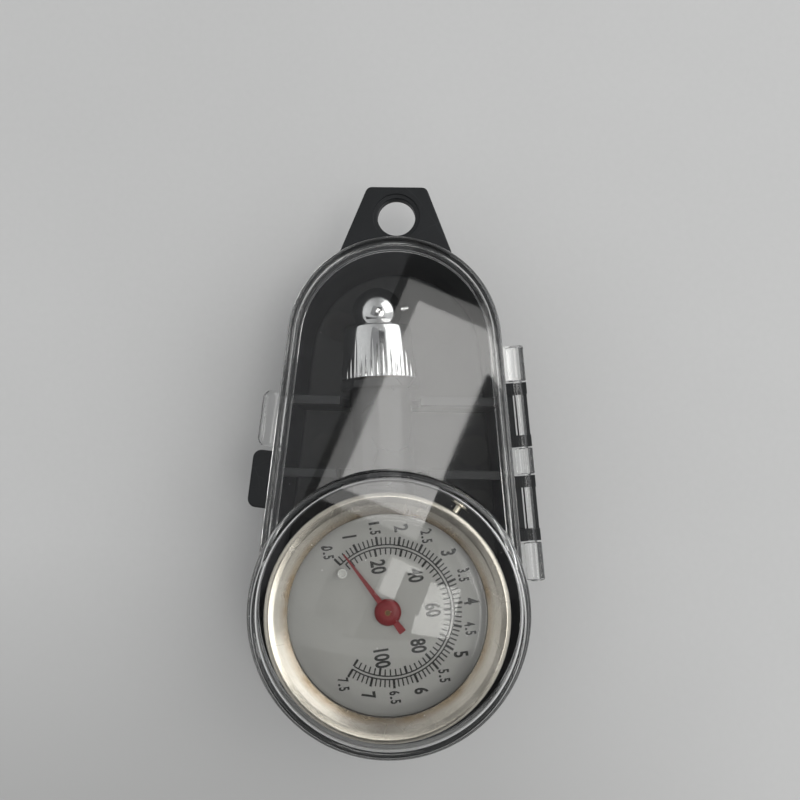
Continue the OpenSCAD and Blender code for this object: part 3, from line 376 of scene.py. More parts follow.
def clearFinish(slot, tone, ior, scratches, dust):
    # clear plastic with fine scratches and dust, which lets light through for shadows
    finish = Finish(slot, baseColor=tone, transmissionWeight=1.0, ior=ior)
    long = finish.lines(31, 0.0011) * finish.spread(finish.noise(9), 0.62, 0.67)
    short = finish.lines(19, 0.0012, finish.turned((1, 0.4, 1), (0, 0, 0.7)))
    short = short * finish.spread(finish.noise(13, place=finish.turned(at=(0.3, 0.1, 0))), 0.58, 0.64)
    marks = long.atLeast(short) * scratches
    specks = finish.add("ShaderNodeTexVoronoi", {"feature": "F1"},
                        {"Vector": finish.spot(), "Scale": 1000 / 4.2}, output="Distance")
    specks = finish.spread(specks, 0.02, 0.035, 1.0, 0.0) * dust
    haze = finish.spread(finish.noise(26, 2.0), 0.35, 0.7, 0.01, 0.035)
    finish.put("roughness", (haze + marks * 0.12 + specks * 0.3).atMost(0.8))
    shadow, diffuse = (finish.add("ShaderNodeLightPath", output="Is %s Ray" % kind)
                       for kind in ("Shadow", "Diffuse"))
    through = finish.add("ShaderNodeBsdfTransparent", {}, {"Color": (0.93, 0.93, 0.92)})
    plastic = Wire(finish, finish.shader.outputs[0])
    mixed = finish.add("ShaderNodeMixShader", {}, {0: shadow.atLeast(diffuse), 1: plastic, 2: through})
    finish.links.new(mixed.socket, finish.nodes["Material Output"].inputs["Surface"])
    return finish


finishes = {
    "tray_plastic": surface("tray_plastic", (0.0070, 0.0082, 0.0095), (0.0105, 0.012, 0.0138),
                            (0.42, 0.56), 0.45, 14,
                            (0.012, 0.15), (0.2, (0.05, 0.053, 0.056)), specularIORLevel=0.35),
    "clear_plastic": clearFinish("clear_plastic", (0.982, 0.985, 0.98), 1.57, 1.0, 1.0),
    # the satin nickel's last tuple is painted shade: a brown band low on the bezel's inner slope, in place of
    # a dark reflection
    "satin_nickel": surface("satin_nickel", (0.57, 0.53, 0.455), (0.68, 0.64, 0.565), (0.18, 0.28), 0.22, 6,
                            (0.011, 0.7), (0.35, (0.3, 0.26, 0.2)), (28.1, 28.9, (0.36, 0.27, 0.17)),
                            metallic=1.0),
    "can_steel": surface("can_steel", (0.50, 0.49, 0.46), (0.60, 0.59, 0.56), (0.28, 0.42), 0.4, 9,
                         (0.004, 0.4), (0.3, (0.35, 0.33, 0.3)), metallic=1.0),
    "lens_plastic": clearFinish("lens_plastic", (0.985, 0.985, 0.98), 1.49, 0.35, 0.5),
    "rubber": surface("rubber", (0.012, 0.012, 0.012), (0.024, 0.024, 0.023), (0.6, 0.8), 0.3, 5,
                      relief=(0.01, 0.5)),
    "black_ring": surface("black_ring", (0.006, 0.006, 0.007), (0.012, 0.012, 0.012), (0.4, 0.55), 0.3, 6),
    "dial_face": surface("dial_face", (0.40, 0.397, 0.389), (0.46, 0.457, 0.449), (0.38, 0.5), 0.18, 12,
                         (0.003, 0.3), metallic=0.15),
    "steel": surface("steel", (0.34, 0.31, 0.27), (0.44, 0.41, 0.37), (0.34, 0.48), 0.3, 3, (0.004, 0.3),
                     metallic=1.0),
    "brass": surface("brass", (0.55, 0.38, 0.13), (0.66, 0.47, 0.18), (0.24, 0.4), 0.3, 4,
                     (0.005, 0.35), (0.3, (0.3, 0.2, 0.08)), metallic=1.0),
    "bronze": surface("bronze", (0.50, 0.27, 0.10), (0.62, 0.36, 0.15), (0.26, 0.4), 0.3, 4, (0.004, 0.3),
                      metallic=1.0),
    "pointer_red": surface("pointer_red", (0.21, 0.003, 0.008), (0.27, 0.005, 0.011), (0.34, 0.46), 0.25, 2.5,
                           (0.006, 0.35), (0.4, (0.12, 0.02, 0.02)), coatWeight=0.1, coatRoughness=0.2),
    "sleeve_black": surface("sleeve_black", (0.010, 0.0105, 0.0115), (0.013, 0.0135, 0.0145),
                            (0.22, 0.27), 0.5, 11, (0.003, 0.2), (0.2, (0.04, 0.04, 0.042))),
    "chrome": surface("chrome", (0.80, 0.80, 0.80), (0.86, 0.86, 0.855), (0.045, 0.13), 0.5, 5,
                      (0.0015, 0.25), (0.2, (0.55, 0.54, 0.52)), metallic=1.0),
    "dark_pin": surface("steel", (0.13, 0.085, 0.04), (0.19, 0.125, 0.065), (0.42, 0.55), 0.2, 2.0,
                        (0.003, 0.3), metallic=1.0),
    "white_peg": surface("lens_plastic", (0.78, 0.78, 0.77), (0.84, 0.84, 0.83), (0.12, 0.25), 0.3, 2.0,
                         (0.003, 0.3), coatWeight=0.6, coatRoughness=0.08),
    "button_nickel": surface("button_nickel", (0.70, 0.65, 0.53), (0.79, 0.74, 0.62), (0.14, 0.28), 0.25, 2.5,
                             (0.003, 0.3), metallic=1.0),
}
for node in frame["record"]["subparts"]:
    cad = next(o for o in bpy.data.objects if o.get("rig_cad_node") == node["node"])
    cad.data.materials.clear()
    name = "dark_pin" if node["node"] == "pointer_arbor" else node["material_slot"]
    cad.data.materials.append(finishes[name].material)
print("finishes made:", len(finishes))

case = {"inner": 4.0, "endR": 28.8, "taperR": 28.2, "archR": 22.8, "archY": 55.2, "trayH": 24.3, "wall": 1.6,
        "floor": 1.8, "draft": 1.2, "foot": 1.5, "deck": 28.3, "lidLow": 24.4, "ceiling": 26.8,
        "lidWall": 1.5, "dome": 35.0, "domeLean": 0.7, "domeEdge": 1.5, "lidEdge": 1.0}
taper = math.asin((case["taperR"] - case["archR"]) / case["archY"])
rightSide = Matrix.Rotation(taper, 4, "Z")
leftSide = Matrix.Rotation(-taper, 4, "Z")


def caseOutline(inset):
    arch, side, end = case["archR"] - inset, case["taperR"] - inset, case["endR"] - inset
    reach = math.sqrt(end * end - side * side)
    lean = math.degrees(taper)
    join = math.degrees(math.atan2(reach, side)) + lean
    points = arcPoints(0, case["archY"], arch, lean, 180 - lean, 72)
    rightTop, rightLow = points[0], (end * math.cos(math.radians(join)), end * math.sin(math.radians(join)))
    points += between(points[-1], (-rightLow[0], rightLow[1]), 12)
    points += arcPoints(0, 0, end, 180 - join, 360 + join, 144)
    return points + between(rightLow, rightTop, 12)


def caseRings(profile):
    return [[(x, y, z) for x, y in caseOutline(inset)] for inset, z in profile]


rim = case["trayH"]
trayProfile = softened([(case["inner"], 0), (case["draft"], 0, case["foot"]), (0, rim, 0.22),
                        (case["wall"], rim, 0.22), (case["wall"] + case["draft"], case["floor"], 0.9),
                        (5.0, case["floor"])], closed=False)
trayShell = loft(caseRings(trayProfile))

tab = {"rootY": 75.5, "tipY": 89.6, "rootHalf": 12.0, "tipHalf": 6.4, "corner": 1.4, "thick": 2.8,
       "holeY": 83.0, "holeR": 4.1}
tabFoot, tabTip = tab["rootY"] - 4, tab["tipY"]
tabOutline = softened([(-tab["rootHalf"], tabFoot), (tab["rootHalf"], tabFoot),
                       (tab["rootHalf"], tab["rootY"]), (tab["tipHalf"], tabTip, tab["corner"]),
                       (-tab["tipHalf"], tabTip, tab["corner"]), (-tab["rootHalf"], tab["rootY"])])
atHole = Matrix.Translation((0, tab["holeY"], 0))
sunkR, sunkZ = tab["holeR"] + 1.0, rim - 0.3
holeProfile = softened([(0, rim - 5), (tab["holeR"], rim - 5), (tab["holeR"], sunkZ, 0.25),
                        (sunkR, sunkZ, 0.2), (sunkR, rim + 1), (0, rim + 1)], closed=False)
hangTab = carved(slab(tabOutline, rim - tab["thick"], rim, 0.3),
                 ("DIFFERENCE", moved(lathe(holeProfile, 128), atHole)),
                 ("DIFFERENCE", loft(caseRings([(0.8, rim - 4), (0.8, rim + 2)]))))

thumb = {"lidLen": 11.9, "lidOut": 3.4, "lidThick": 2.2, "lidAt": 36.0, "trayLen": 12.2, "trayOut": 4.2,
         "trayThick": 2.3, "trayAt": 23.2, "corner": 1.8}


def thumbTab(out, length, at, low, high, root, edge):
    inner, outer = root - case["taperR"], -case["taperR"] - out
    outline = softened([(inner, at + length / 2), (outer, at + length / 2, thumb["corner"]),
                        (outer, at - length / 2, thumb["corner"]), (inner, at - length / 2)])
    return moved(slab(outline, low, high, edge), leftSide)


trayThumb = thumbTab(thumb["trayOut"], thumb["trayLen"], thumb["trayAt"],
                     rim - thumb["trayThick"], rim, 1.0, 0.35)

hinge = {"out": 2.75, "z": 23.0, "rod": 1.0, "bore": 1.05, "knuckle": 1.9, "clips": (11.0, 30.8),
         "clipLen": 13.7, "half": 1.8, "block": 2.5, "depth": 2.4, "grip": 0.4, "groove": 0.22,
         "knuckles": ((2.8, 7.9), (25.0, 5.5), (44.8, 7.5)), "start": 3.0, "end": 52.1, "arm": 0.9}
hingeX = case["taperR"] + hinge["out"]
alongHinge = Matrix.Translation((hingeX, 0, hinge["z"])) @ Matrix.Rotation(-quarter, 4, "X")


def clipShape(at):
    # two slotted blocks that hold the rod, on a base along the tray's side
    low, top, far = hinge["z"] - hinge["depth"], hinge["z"] + hinge["grip"], at + hinge["clipLen"]
    inner, outer, blocks = case["taperR"] - 0.6, hingeX + hinge["half"], (at, far - hinge["block"])
    steps = [("UNION", box((inner, s, low), (outer, s + hinge["block"], top))) for s in blocks]
    steps.append(("DIFFERENCE", moved(rod(hinge["bore"], at - 1, far + 1), alongHinge)))
    steps.append(("DIFFERENCE", box((hingeX - hinge["rod"] - 0.2, at + hinge["block"], low - 1),
                                    (hingeX + hinge["bore"], far - hinge["block"], rim + 1))))
    steps += [("DIFFERENCE", box((x, s - 0.1, top - 0.15),
                                 (x + hinge["groove"], s + hinge["block"] + 0.1, rim + 1)))
              for s in blocks for x in (inner + 1.0, inner + 1.6, hingeX + 1.25)]
    return moved(carved(box((inner, at, low), (outer, far, low + hinge["depth"] - 0.6)), *steps), rightSide)


ribs = {"y": (43.3, 27.5), "saddle": (8.75, 9.9), "thick": 2.0, "top": 20.5}


def ribShape(y, saddle):
    half = (case["taperR"] - y * math.sin(taper)) / math.cos(taper) - case["wall"] + 0.1
    lean = case["draft"] * (rim - case["floor"]) / rim
    centre = gauge["x"] - math.tan(math.radians(gauge["turn"])) * (y - gauge["y"])
    seat = arcPoints(centre, gauge["stemZ"], saddle, 0, -180, 40)
    foot, top = case["floor"] - 0.3, ribs["top"]
    outline = [(lean - half, foot), (half - lean, foot), (half - 0.1, top), (centre + saddle, top)] + seat
    outline += [(centre - saddle, top), (0.1 - half, top)]
    flat = slab(outline, -ribs["thick"] / 2, ribs["thick"] / 2, 0.18)
    return moved(flat, Matrix.Translation((0, y, 0)) @ Matrix.Rotation(quarter, 4, "X"))


trayParts = [trayShell, hangTab, trayThumb] + [clipShape(at) for at in hinge["clips"]]
trayParts += [ribShape(y, r) for y, r in zip(ribs["y"], ribs["saddle"])]
piece("tray_moulding", together(*trayParts), "case", finishes["tray_plastic"], ["tray"], sharp=38)


def tree(name, sizes):
    # a geometry tree with named inputs; sizes is a list of (name, type, value)
    group = bpy.data.node_groups.new(name, "GeometryNodeTree")
    group.interface.new_socket("Geometry", in_out="INPUT", socket_type="NodeSocketGeometry")
    for label, kind, value in sizes:
        socket = group.interface.new_socket(label, in_out="INPUT", socket_type="NodeSocket" + kind)
        socket.default_value = value
    group.interface.new_socket("Geometry", in_out="OUTPUT", socket_type="NodeSocketGeometry")
    return group


def put(group, kind, settings=None, inputs=None):
    node = group.nodes.new(kind)
    for name, value in (settings or {}).items():
        setattr(node, name, value)
    for name, value in (inputs or {}).items():
        if isinstance(value, bpy.types.NodeSocket):
            group.links.new(value, node.inputs[name])
        else:
            node.inputs[name].default_value = value
    return node


def grown(name, group, values, body, finish, place=upright, points=None):
    # the tree's result as a plain mesh piece
    seed = bpy.data.meshes.new(name)
    seed.from_pydata([Vector(p) * mm for p in (points or [(0, 0, 0)])], [], [])
    thing = bpy.data.objects.new(name, seed)
    bpy.context.collection.objects.link(thing)
    maker = thing.modifiers.new("maker", "NODES")
    maker.node_group = group
    sockets = {s.name: s.identifier for s in group.interface.items_tree if s.in_out == "INPUT"}
    for label, value in values.items():
        maker[sockets[label]] = value
    maker[sockets["Finish"]] = finish.material
    plain = plainMesh(thing)
    thing.modifiers.clear()
    thing.data = plain
    turn = place.to_quaternion().to_matrix().to_4x4()
    thing.data.transform(Matrix.Translation(place.to_translation() * mm) @ turn)
    thing.data.name = name
    if not thing.data.materials:
        thing.data.materials.append(finish.material)
    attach(thing, body)
    return thing


def painted(group, start, spread):
    # the spread pieces as one mesh in the finish that was asked for
    real = put(group, "GeometryNodeRealizeInstances", {}, {"Geometry": spread.outputs[0]})
    dressed = put(group, "GeometryNodeSetMaterial", {},
                  {"Geometry": real.outputs[0], "Material": start.outputs["Finish"]})
    put(group, "NodeGroupOutput", {}, {"Geometry": dressed.outputs[0]})
    return group


def discTree():
    # low round marks on a set of points
    group = tree("lowMarks", [("Radius", "Float", 0.0036), ("Height", "Float", 0.0001),
                              ("Finish", "Material", None)])
    start = put(group, "NodeGroupInput")
    disc = put(group, "GeometryNodeMeshCylinder", {}, {"Vertices": 64, "Radius": start.outputs["Radius"],
                                                       "Depth": start.outputs["Height"]})
    spread = put(group, "GeometryNodeInstanceOnPoints", {}, {"Points": start.outputs["Geometry"],
                                                             "Instance": disc.outputs["Mesh"]})
    return painted(group, start, spread)


marks = {"radius": 3.65, "height": 0.3,
         "at": [(12.2, 62.5), (-16.0, 33.4), (18.6, 33.4), (-13.6, 62.5), (19.6, 20.6), (-19.6, 20.6)]}
grown("tray_marks", discTree(), {"Radius": marks["radius"] * mm, "Height": marks["height"] * mm}, "case",
      finishes["rubber"], points=[(x, y, case["floor"] + marks["height"] * 0.1) for x, y in marks["at"]])
print("tray made")


def domeShape(inset, low, high, edge):
    r = case["endR"] - inset
    shoulder = arcPoints(r - case["domeLean"] - edge, high - edge, edge, 0, 90, 8)
    return lathe([(0, low), (r, low)] + shoulder + [(0, high)])


low = case["lidLow"]
lip = {"inset": 1.9, "thick": 0.8, "depth": 1.0, "flange": 1.0}
capProfile = softened([(0, low, 0.12), (0.3, case["deck"], case["lidEdge"]), (case["inner"], case["deck"])],
                      closed=False)
cap = loft(caseRings([(3.0, low)] + [(0.0, low)] + capProfile[1:]))
lipSolid = loft(caseRings([(lip["inset"], low - lip["depth"]), (lip["inset"], low + 0.5)]))
lipIn = lip["inset"] + lip["thick"]
wall, ceiling = case["lidWall"], case["ceiling"]
hollowLow = loft(caseRings([(lipIn, low - 2), (lipIn, low + lip["flange"])]))
hollowTop = loft(caseRings([(wall, low + lip["flange"] - 0.01), (wall, ceiling - 0.6),
                            (wall + 0.12, ceiling - 0.25), (wall + 0.6, ceiling)]))
hollowDome = domeShape(wall, low - 2, case["dome"] - wall, case["domeEdge"] / 2)
steps = [("UNION", domeShape(0, low, case["dome"], case["domeEdge"])), ("UNION", lipSolid),
         ("UNION", thumbTab(thumb["lidOut"], thumb["lidLen"], thumb["lidAt"],
                            low, low + thumb["lidThick"], 0.5, 0.95)),
         ("DIFFERENCE", hollowLow), ("DIFFERENCE", hollowTop), ("DIFFERENCE", hollowDome)]
onRight = rightSide @ alongHinge
for at, length in hinge["knuckles"]:
    barrel = softened([(0, at), (hinge["knuckle"], at, 0.3), (hinge["knuckle"], at + length, 0.3),
                       (0, at + length)], closed=False)
    arm = box((case["taperR"] - 0.7, at + 0.05, low), (hingeX, at + length - 0.05, low + hinge["arm"]))
    steps += [("UNION", moved(lathe(barrel, 64), onRight)), ("UNION", moved(arm, rightSide))]
steps.append(("UNION", moved(rod(hinge["rod"], hinge["start"], hinge["end"]), onRight)))
piece("lid_moulding", carved(cap, *steps), "lid", finishes["clear_plastic"], ["lid"], sharp=28)
print("lid made")

head = {"bezelR": 25.0, "windowR": 20.4, "crestR": 23.9, "crestZ": 29.9, "windowZ": 28.0, "lensTop": 27.2,
        "lensLow": 26.2, "crimpZ": 24.0, "canR": 23.0, "dialZ": 22.5, "lensR": 23.5, "crownR": 20.2,
        "lensRise": 3.1}
bezelR, windowR, windowZ = head["bezelR"], head["windowR"], head["windowZ"]
crestR, crestZ, crimpZ = head["crestR"], head["crestZ"], head["crimpZ"]
canWall, seatZ = head["canR"] + 0.1, head["lensTop"] + 0.02
bezelProfile = softened([
    (canWall, crimpZ), (bezelR - 0.5, crimpZ, 0.3), (bezelR - 0.1, crimpZ + 0.8, 0.6), (bezelR, crimpZ + 2.6),
    (bezelR, crestZ - 0.55, 0.8), (crestR + 0.3, crestZ + 0.03, 0.7), (crestR - 1.1, crestZ - 0.42, 1.2),
    (windowR + 0.5, windowZ + 0.12, 0.8), (windowR, windowZ - 0.3, 0.25), (windowR, seatZ),
    (windowR + 1.2, seatZ), (crestR - 0.3, crestZ - 1.3), (bezelR - 0.7, crestZ - 1.7),
    (bezelR - 0.7, crimpZ + 0.8), (canWall, crimpZ + 0.8)])
piece("bezel_ring", lathe(bezelProfile, 256), "gauge", finishes["satin_nickel"], ["bezel"], placeHead,
      sharp=50)

crownBall = (head["crownR"] ** 2 + head["lensRise"] ** 2) / (2 * head["lensRise"])
crownZ = head["lensTop"] + head["lensRise"] - crownBall


def crown(radius, foot, count):
    # heights of the dome from the rim to its top
    reach = math.asin(foot / radius)
    return [(radius * math.sin(reach * (1 - i / count)), crownZ + radius * math.cos(reach * (1 - i / count)))
            for i in range(count + 1)]


innerBall = crownBall - 1
innerFoot = math.sqrt(innerBall ** 2 - (head["lensLow"] - crownZ) ** 2)
lensProfile = [(head["lensR"], head["lensLow"]), (head["lensR"], head["lensTop"]),
               (head["crownR"] + 0.5, head["lensTop"])]
lensProfile += crown(crownBall, head["crownR"] - 0.1, 24)
lensProfile += crown(innerBall, min(innerFoot, head["crownR"] - 1), 24)[::-1]
lensProfile = [p if p[0] > 1e-4 else (0, p[1]) for p in lensProfile]
piece("lens_dome", lathe(lensProfile), "gauge", finishes["lens_plastic"], ["lens"], placeHead, sharp=40)

scale = {"perPsi": 2.5, "psi20": 257.5, "kg2": 279.0, "perKg": 36.86, "skew": 0.835, "lineIn": 13.12,
         "lineOut": 13.78, "line": 0.27, "ink": 0.04}


def dialAngle(clockwise):
    # angle in the head's own plane of an angle read clockwise from the right
    return math.radians(scale["skew"] - clockwise - gauge["turn"])


def tickTree():
    # straight marks spread round a circle
    group = tree("dialTicks", [("Count", "Int", 10), ("Start", "Float", 0.0), ("Step", "Float", 0.1),
                               ("Inner", "Float", 0.01), ("Outer", "Float", 0.012),
                               ("Width", "Float", 0.0002), ("Height", "Float", 0.00004),
                               ("Finish", "Material", None)])

    def maths(operation, *values):
        return put(group, "ShaderNodeMath", {"operation": operation}, dict(enumerate(values))).outputs[0]

    start = put(group, "NodeGroupInput")
    asked = start.outputs
    index = put(group, "GeometryNodeInputIndex").outputs[0]
    angle = maths("MULTIPLY_ADD", index, asked["Step"], asked["Start"])
    half = maths("MULTIPLY", maths("ADD", asked["Inner"], asked["Outer"]), 0.5)
    length = maths("SUBTRACT", asked["Outer"], asked["Inner"])
    x, y = (maths("MULTIPLY", maths(word, angle), half) for word in ("COSINE", "SINE"))
    where = put(group, "ShaderNodeCombineXYZ", {}, {"X": x, "Y": y})
    turn = put(group, "ShaderNodeCombineXYZ", {}, {"Z": angle})
    size = put(group, "ShaderNodeCombineXYZ", {}, {"X": length, "Y": asked["Width"], "Z": asked["Height"]})
    points = put(group, "GeometryNodePoints", {}, {"Count": asked["Count"], "Position": where.outputs[0]})
    bar = put(group, "GeometryNodeMeshCube", {}, {"Size": size.outputs[0]})
    spread = put(group, "GeometryNodeInstanceOnPoints", {},
                 {"Points": points.outputs[0], "Instance": bar.outputs["Mesh"], "Rotation": turn.outputs[0]})
    return painted(group, start, spread)


ticks = tickTree()
onDial = placeHead @ Matrix.Translation((0, 0, head["dialZ"] + scale["ink"] / 2))
psiStart = scale["psi20"] - 12 * scale["perPsi"]
kgStart, kgEnd = scale["kg2"] - 1.5 * scale["perKg"], scale["kg2"] + 5.5 * scale["perKg"]
tickRows = {   # count, first mark clockwise, step, inner radius, outer radius, width
    "psi": (51, psiStart, 2 * scale["perPsi"], 11.75, 13.15, 0.29),
    "psi_tens": (11, scale["psi20"] - 10 * scale["perPsi"], 10 * scale["perPsi"], 11.55, 13.15, 0.48),
    "kg": (71, kgStart, 0.1 * scale["perKg"], 13.75, 15.35, 0.29),
    "kg_halves": (15, kgStart, 0.5 * scale["perKg"], 13.75, 15.6, 0.5)}
for name, (count, first, step, inner, outer, width) in tickRows.items():
    grown("ticks_" + name, ticks, {"Count": count, "Start": dialAngle(first), "Step": -math.radians(step),
                                   "Inner": inner * mm, "Outer": outer * mm, "Width": width * mm,
                                   "Height": scale["ink"] * mm}, "gauge", finishes["black_ring"], onDial)


def arcBand(radius, first, last):
    a, b, half = math.degrees(dialAngle(first)), math.degrees(dialAngle(last)), scale["line"] / 2
    outline = arcPoints(0, 0, radius + half, a, b, 160) + arcPoints(0, 0, radius - half, b, a, 160)
    return slab(outline, head["dialZ"], head["dialZ"] + scale["ink"])


bands = together(arcBand(scale["lineIn"], psiStart, kgEnd), arcBand(scale["lineOut"], kgStart, kgEnd))
piece("scale_lines", bands, "gauge", finishes["black_ring"], place=placeHead)

figures = {"radiusOut": 17.4, "radiusIn": 9.4, "up": 10.0 - 90.0 - gauge["turn"], "squeeze": 0.67,
           "slim": 0.58, "bold": 0.042, "dot": 0.25, "whole": 3.0, "halves": 2.25, "tens": 3.25,
           "capital": 0.73}
labels = [(str(n) if n % 1 else str(int(n)), scale["kg2"] + (n - 2) * scale["perKg"],
           figures["radiusOut"], figures["halves" if n % 1 else "whole"])
          for n in [i / 2 for i in range(1, 16)]]
labels += [(str(n), scale["psi20"] + (n - 20) * scale["perPsi"], figures["radiusIn"], figures["tens"])
           for n in (20, 40, 60, 80, 100)]
ink = scale["ink"] / 2
turned = Matrix.Rotation(math.radians(figures["up"]), 4, "Z")
letters = []
for word, clockwise, radius, height in labels:
    text = bpy.data.curves.new("figure", "FONT")
    text.body, text.align_x, text.size = word.replace(".", "  "), "CENTER", height / figures["capital"]
    text.extrude, text.offset, text.resolution_u = ink, figures["bold"] * height, 4
    holder = bpy.data.objects.new("figure", text)
    bpy.context.collection.objects.link(holder)
    flat = plainMesh(holder)
    bpy.data.objects.remove(holder)
    angle = dialAngle(clockwise)
    low, high = min(v.co.y for v in flat.vertices), max(v.co.y for v in flat.vertices)
    grow = height / (high - low)
    wide = figures["slim" if "." in word else "squeeze"] * height / (high - low)
    even = Matrix.Diagonal((wide, grow, 1, 1)) @ Matrix.Translation((0, -(low + high) / 2, 0))
    parts = [([tuple(even @ v.co) for v in flat.vertices], [tuple(p.vertices) for p in flat.polygons])]
    if "." in word:
        dot = slab(arcPoints(0, 0, figures["dot"], 0, 345, 23), -ink, ink)
        parts.append(moved(dot, Matrix.Translation((0, figures["dot"] - height / 2, 0))))
    centre = (radius * math.cos(angle), radius * math.sin(angle), head["dialZ"] + ink)
    spot = Matrix.Translation(centre) @ turned
    letters += [moved(part, placeHead @ spot) for part in parts]
piece("dial_figures", together(*letters), "gauge", finishes["black_ring"])

pointer = {"angle": 125.6, "len": 15.0, "tail": 5.1, "hub": 2.8, "hole": 0.56, "bush": 1.12, "low": 23.42,
           "z": 23.5, "thick": 0.32}
hubProfile = softened([(pointer["bush"], pointer["low"]), (2.7, pointer["low"], 0.1),
                       (pointer["hub"], 23.62, 0.15), (2.35, 24.15, 0.7), (1.5, 24.5, 0.9),
                       (pointer["hole"], 24.52, 0.08), (pointer["hole"], 24.4), (pointer["bush"], 24.38)])
armOutline = softened([(-pointer["tail"], -0.78, 0.12), (-2.3, -0.62), (0, -0.62), (2.3, -0.6),
                       (pointer["len"], -0.14), (pointer["len"], 0.14), (2.3, 0.6), (0, 0.62), (-2.3, 0.62),
                       (-pointer["tail"], 0.78, 0.12)])
arm = carved(slab(armOutline, pointer["z"], pointer["z"] + pointer["thick"], 0.06),
             ("DIFFERENCE", rod(1.13, 23, 25)))
atPointer = placeHead @ Matrix.Rotation(math.radians(pointer["angle"]), 4, "Z")
piece("pointer_hand", together(lathe(hubProfile, 96), arm), "pointer", finishes["pointer_red"], ["pointer"],
      atPointer, sharp=40)

stop = {"angle": 137.85, "at": 12.34, "shank": 0.58, "head": 1.0, "dip": 0.66, "low": 21.7, "top": 24.3}
stopTurn = Matrix.Rotation(math.radians(stop["angle"]), 4, "Z")
atStop = placeHead @ stopTurn @ Matrix.Translation((stop["at"], 0, 0))
stopProfile = softened([(0, stop["low"]), (stop["shank"], stop["low"]), (stop["shank"], 22.52),
                        (stop["head"], 22.52), (stop["head"], stop["top"], 0.22),
                        (stop["dip"], stop["top"], 0.08), (0.6, 23.6), (0, 23.6)], closed=False)
piece("stop_peg", lathe(stopProfile, 64), "gauge", finishes["white_peg"], ["stop_pin"], atStop, sharp=40)
print("head made")

stem = {"bore": 4.62, "sleeve": 6.9, "from": 23.6, "to": 47.2, "collar": 8.7, "end": 49.4}
sleeveProfile = softened([(stem["bore"], stem["from"]), (stem["sleeve"], stem["from"], 0.7),
                          (stem["sleeve"], stem["to"]), (stem["bore"], stem["to"])])
piece("sleeve", lathe(sleeveProfile, 160), "gauge", finishes["sleeve_black"], ["stem_sleeve"], alongStem)
collarProfile = softened([(stem["bore"], stem["to"]), (stem["collar"], stem["to"], 0.5),
                          (stem["collar"], stem["end"], 0.5), (stem["bore"], stem["end"])])
piece("collar", lathe(collarProfile, 160), "gauge", finishes["sleeve_black"], ["stem_collar"], alongStem)

nut = {"foot": 8.6, "top": 7.75, "from": 49.5, "to": 61.4, "flutes": 40, "depth": 0.22, "edge": 0.8,
       "mouth": 3.06, "lip": 2.2, "cup": 5.2, "thread": 6.42, "shoulder": 56.5}


def nutRing(radius, height, depth=0.0):
    count = nut["flutes"] * 10
    ring = []
    for i in range(count):
        reach = radius - depth * max(0, math.cos(nut["flutes"] * math.tau * i / count)) ** 1.5
        ring.append((reach * math.cos(math.tau * i / count), reach * math.sin(math.tau * i / count), height))
    return ring


def nutShape():
    # rings of a tapered nut whose flutes fade towards its top
    length, grow, brow = nut["to"] - nut["from"], nut["top"] - nut["foot"], nut["to"] - nut["edge"]
    outside = [(nut["foot"] - 0.12, nut["from"]), (nut["foot"], nut["from"] + 0.12)]
    outside += [(nut["foot"] + grow * i / 16, nut["from"] + length * i / 16) for i in range(1, 15)]
    outside += arcPoints(nut["top"] - nut["edge"], brow, nut["edge"], 8, 90, 8)
    rings = []
    for radius, height in outside:
        share = min(1.0, max(0.0, (brow - 0.2 - height) / 2.5))
        fade = nut["depth"] * max(0.0, 1 - (height - nut["from"]) / length) ** 2.8 * share
        rings.append(nutRing(radius, height, fade))
    floor = nut["to"] - nut["lip"]
    rings += [nutRing(radius, height) for radius, height in (
        (nut["mouth"], nut["to"]), (nut["mouth"], floor), (nut["cup"], floor), (nut["cup"], nut["shoulder"]),
        (nut["thread"], nut["shoulder"]), (nut["thread"], nut["from"]))]
    verts, faces = loft(rings)
    count, last = len(rings[0]), len(verts) - len(rings[0])
    return verts, faces[:-2] + [(last + i, last + (i + 1) % count, (i + 1) % count, i) for i in range(count)]


piece("fluted_nut", nutShape(), "gauge", finishes["chrome"], ["chuck_nut"], alongStem, sharp=42)

ball = {"r": 5.7, "at": gauge["ballAt"], "cut": 61.5, "neck": 3.0, "flange": 5.0, "low": 57.0, "mouth": 3.9,
        "floor": 1.2, "bore": 1.2}
cutAngle = math.degrees(math.asin((ball["cut"] - ball["at"]) / ball["r"]))
ballProfile = [(0, ball["low"]), (ball["flange"], ball["low"]), (ball["flange"], 59.0), (ball["neck"], 59.0),
               (ball["neck"], ball["cut"])]
ballProfile += [(x, ball["at"] + y) for x, y in arcPoints(0, 0, ball["r"], cutAngle, 89.9, 40)]
ballProfile.append((0, ball["at"] + ball["r"]))
mouthCut = softened([(0, ball["floor"]), (ball["mouth"], ball["floor"]), (ball["mouth"], 4.0, 0.3),
                     (ball["mouth"] + 0.5, 4.6), (ball["mouth"] + 0.5, 7), (0, 7)], closed=False)
nub = {"angle": 82, "root": 4.1, "r": 0.75, "tip": 7.0, "hole": 0.36}
onNub = atBall @ Matrix.Rotation(math.radians(nub["angle"]), 4, "Y")
ballShape = carved(moved(lathe(ballProfile, 160), alongStem),
                   ("DIFFERENCE", moved(lathe(mouthCut, 96), alongMouth)),
                   ("DIFFERENCE", moved(rod(ball["bore"], 56, ball["at"]), alongStem)),
                   ("DIFFERENCE", moved(rod(0.8, 0, 1.5, 32), alongMouth)),
                   ("DIFFERENCE", moved(rod(nub["r"] + 0.01, nub["root"], nub["tip"]), onNub)))
piece("ball", ballShape, "chuck", finishes["chrome"], ["chuck_ball"], sharp=40)
nubProfile = softened([(0, nub["root"]), (nub["r"], nub["root"]), (nub["r"], nub["tip"], 0.12),
                       (nub["hole"], nub["tip"], 0.06), (0.34, 6.5), (0, 6.5)], closed=False)
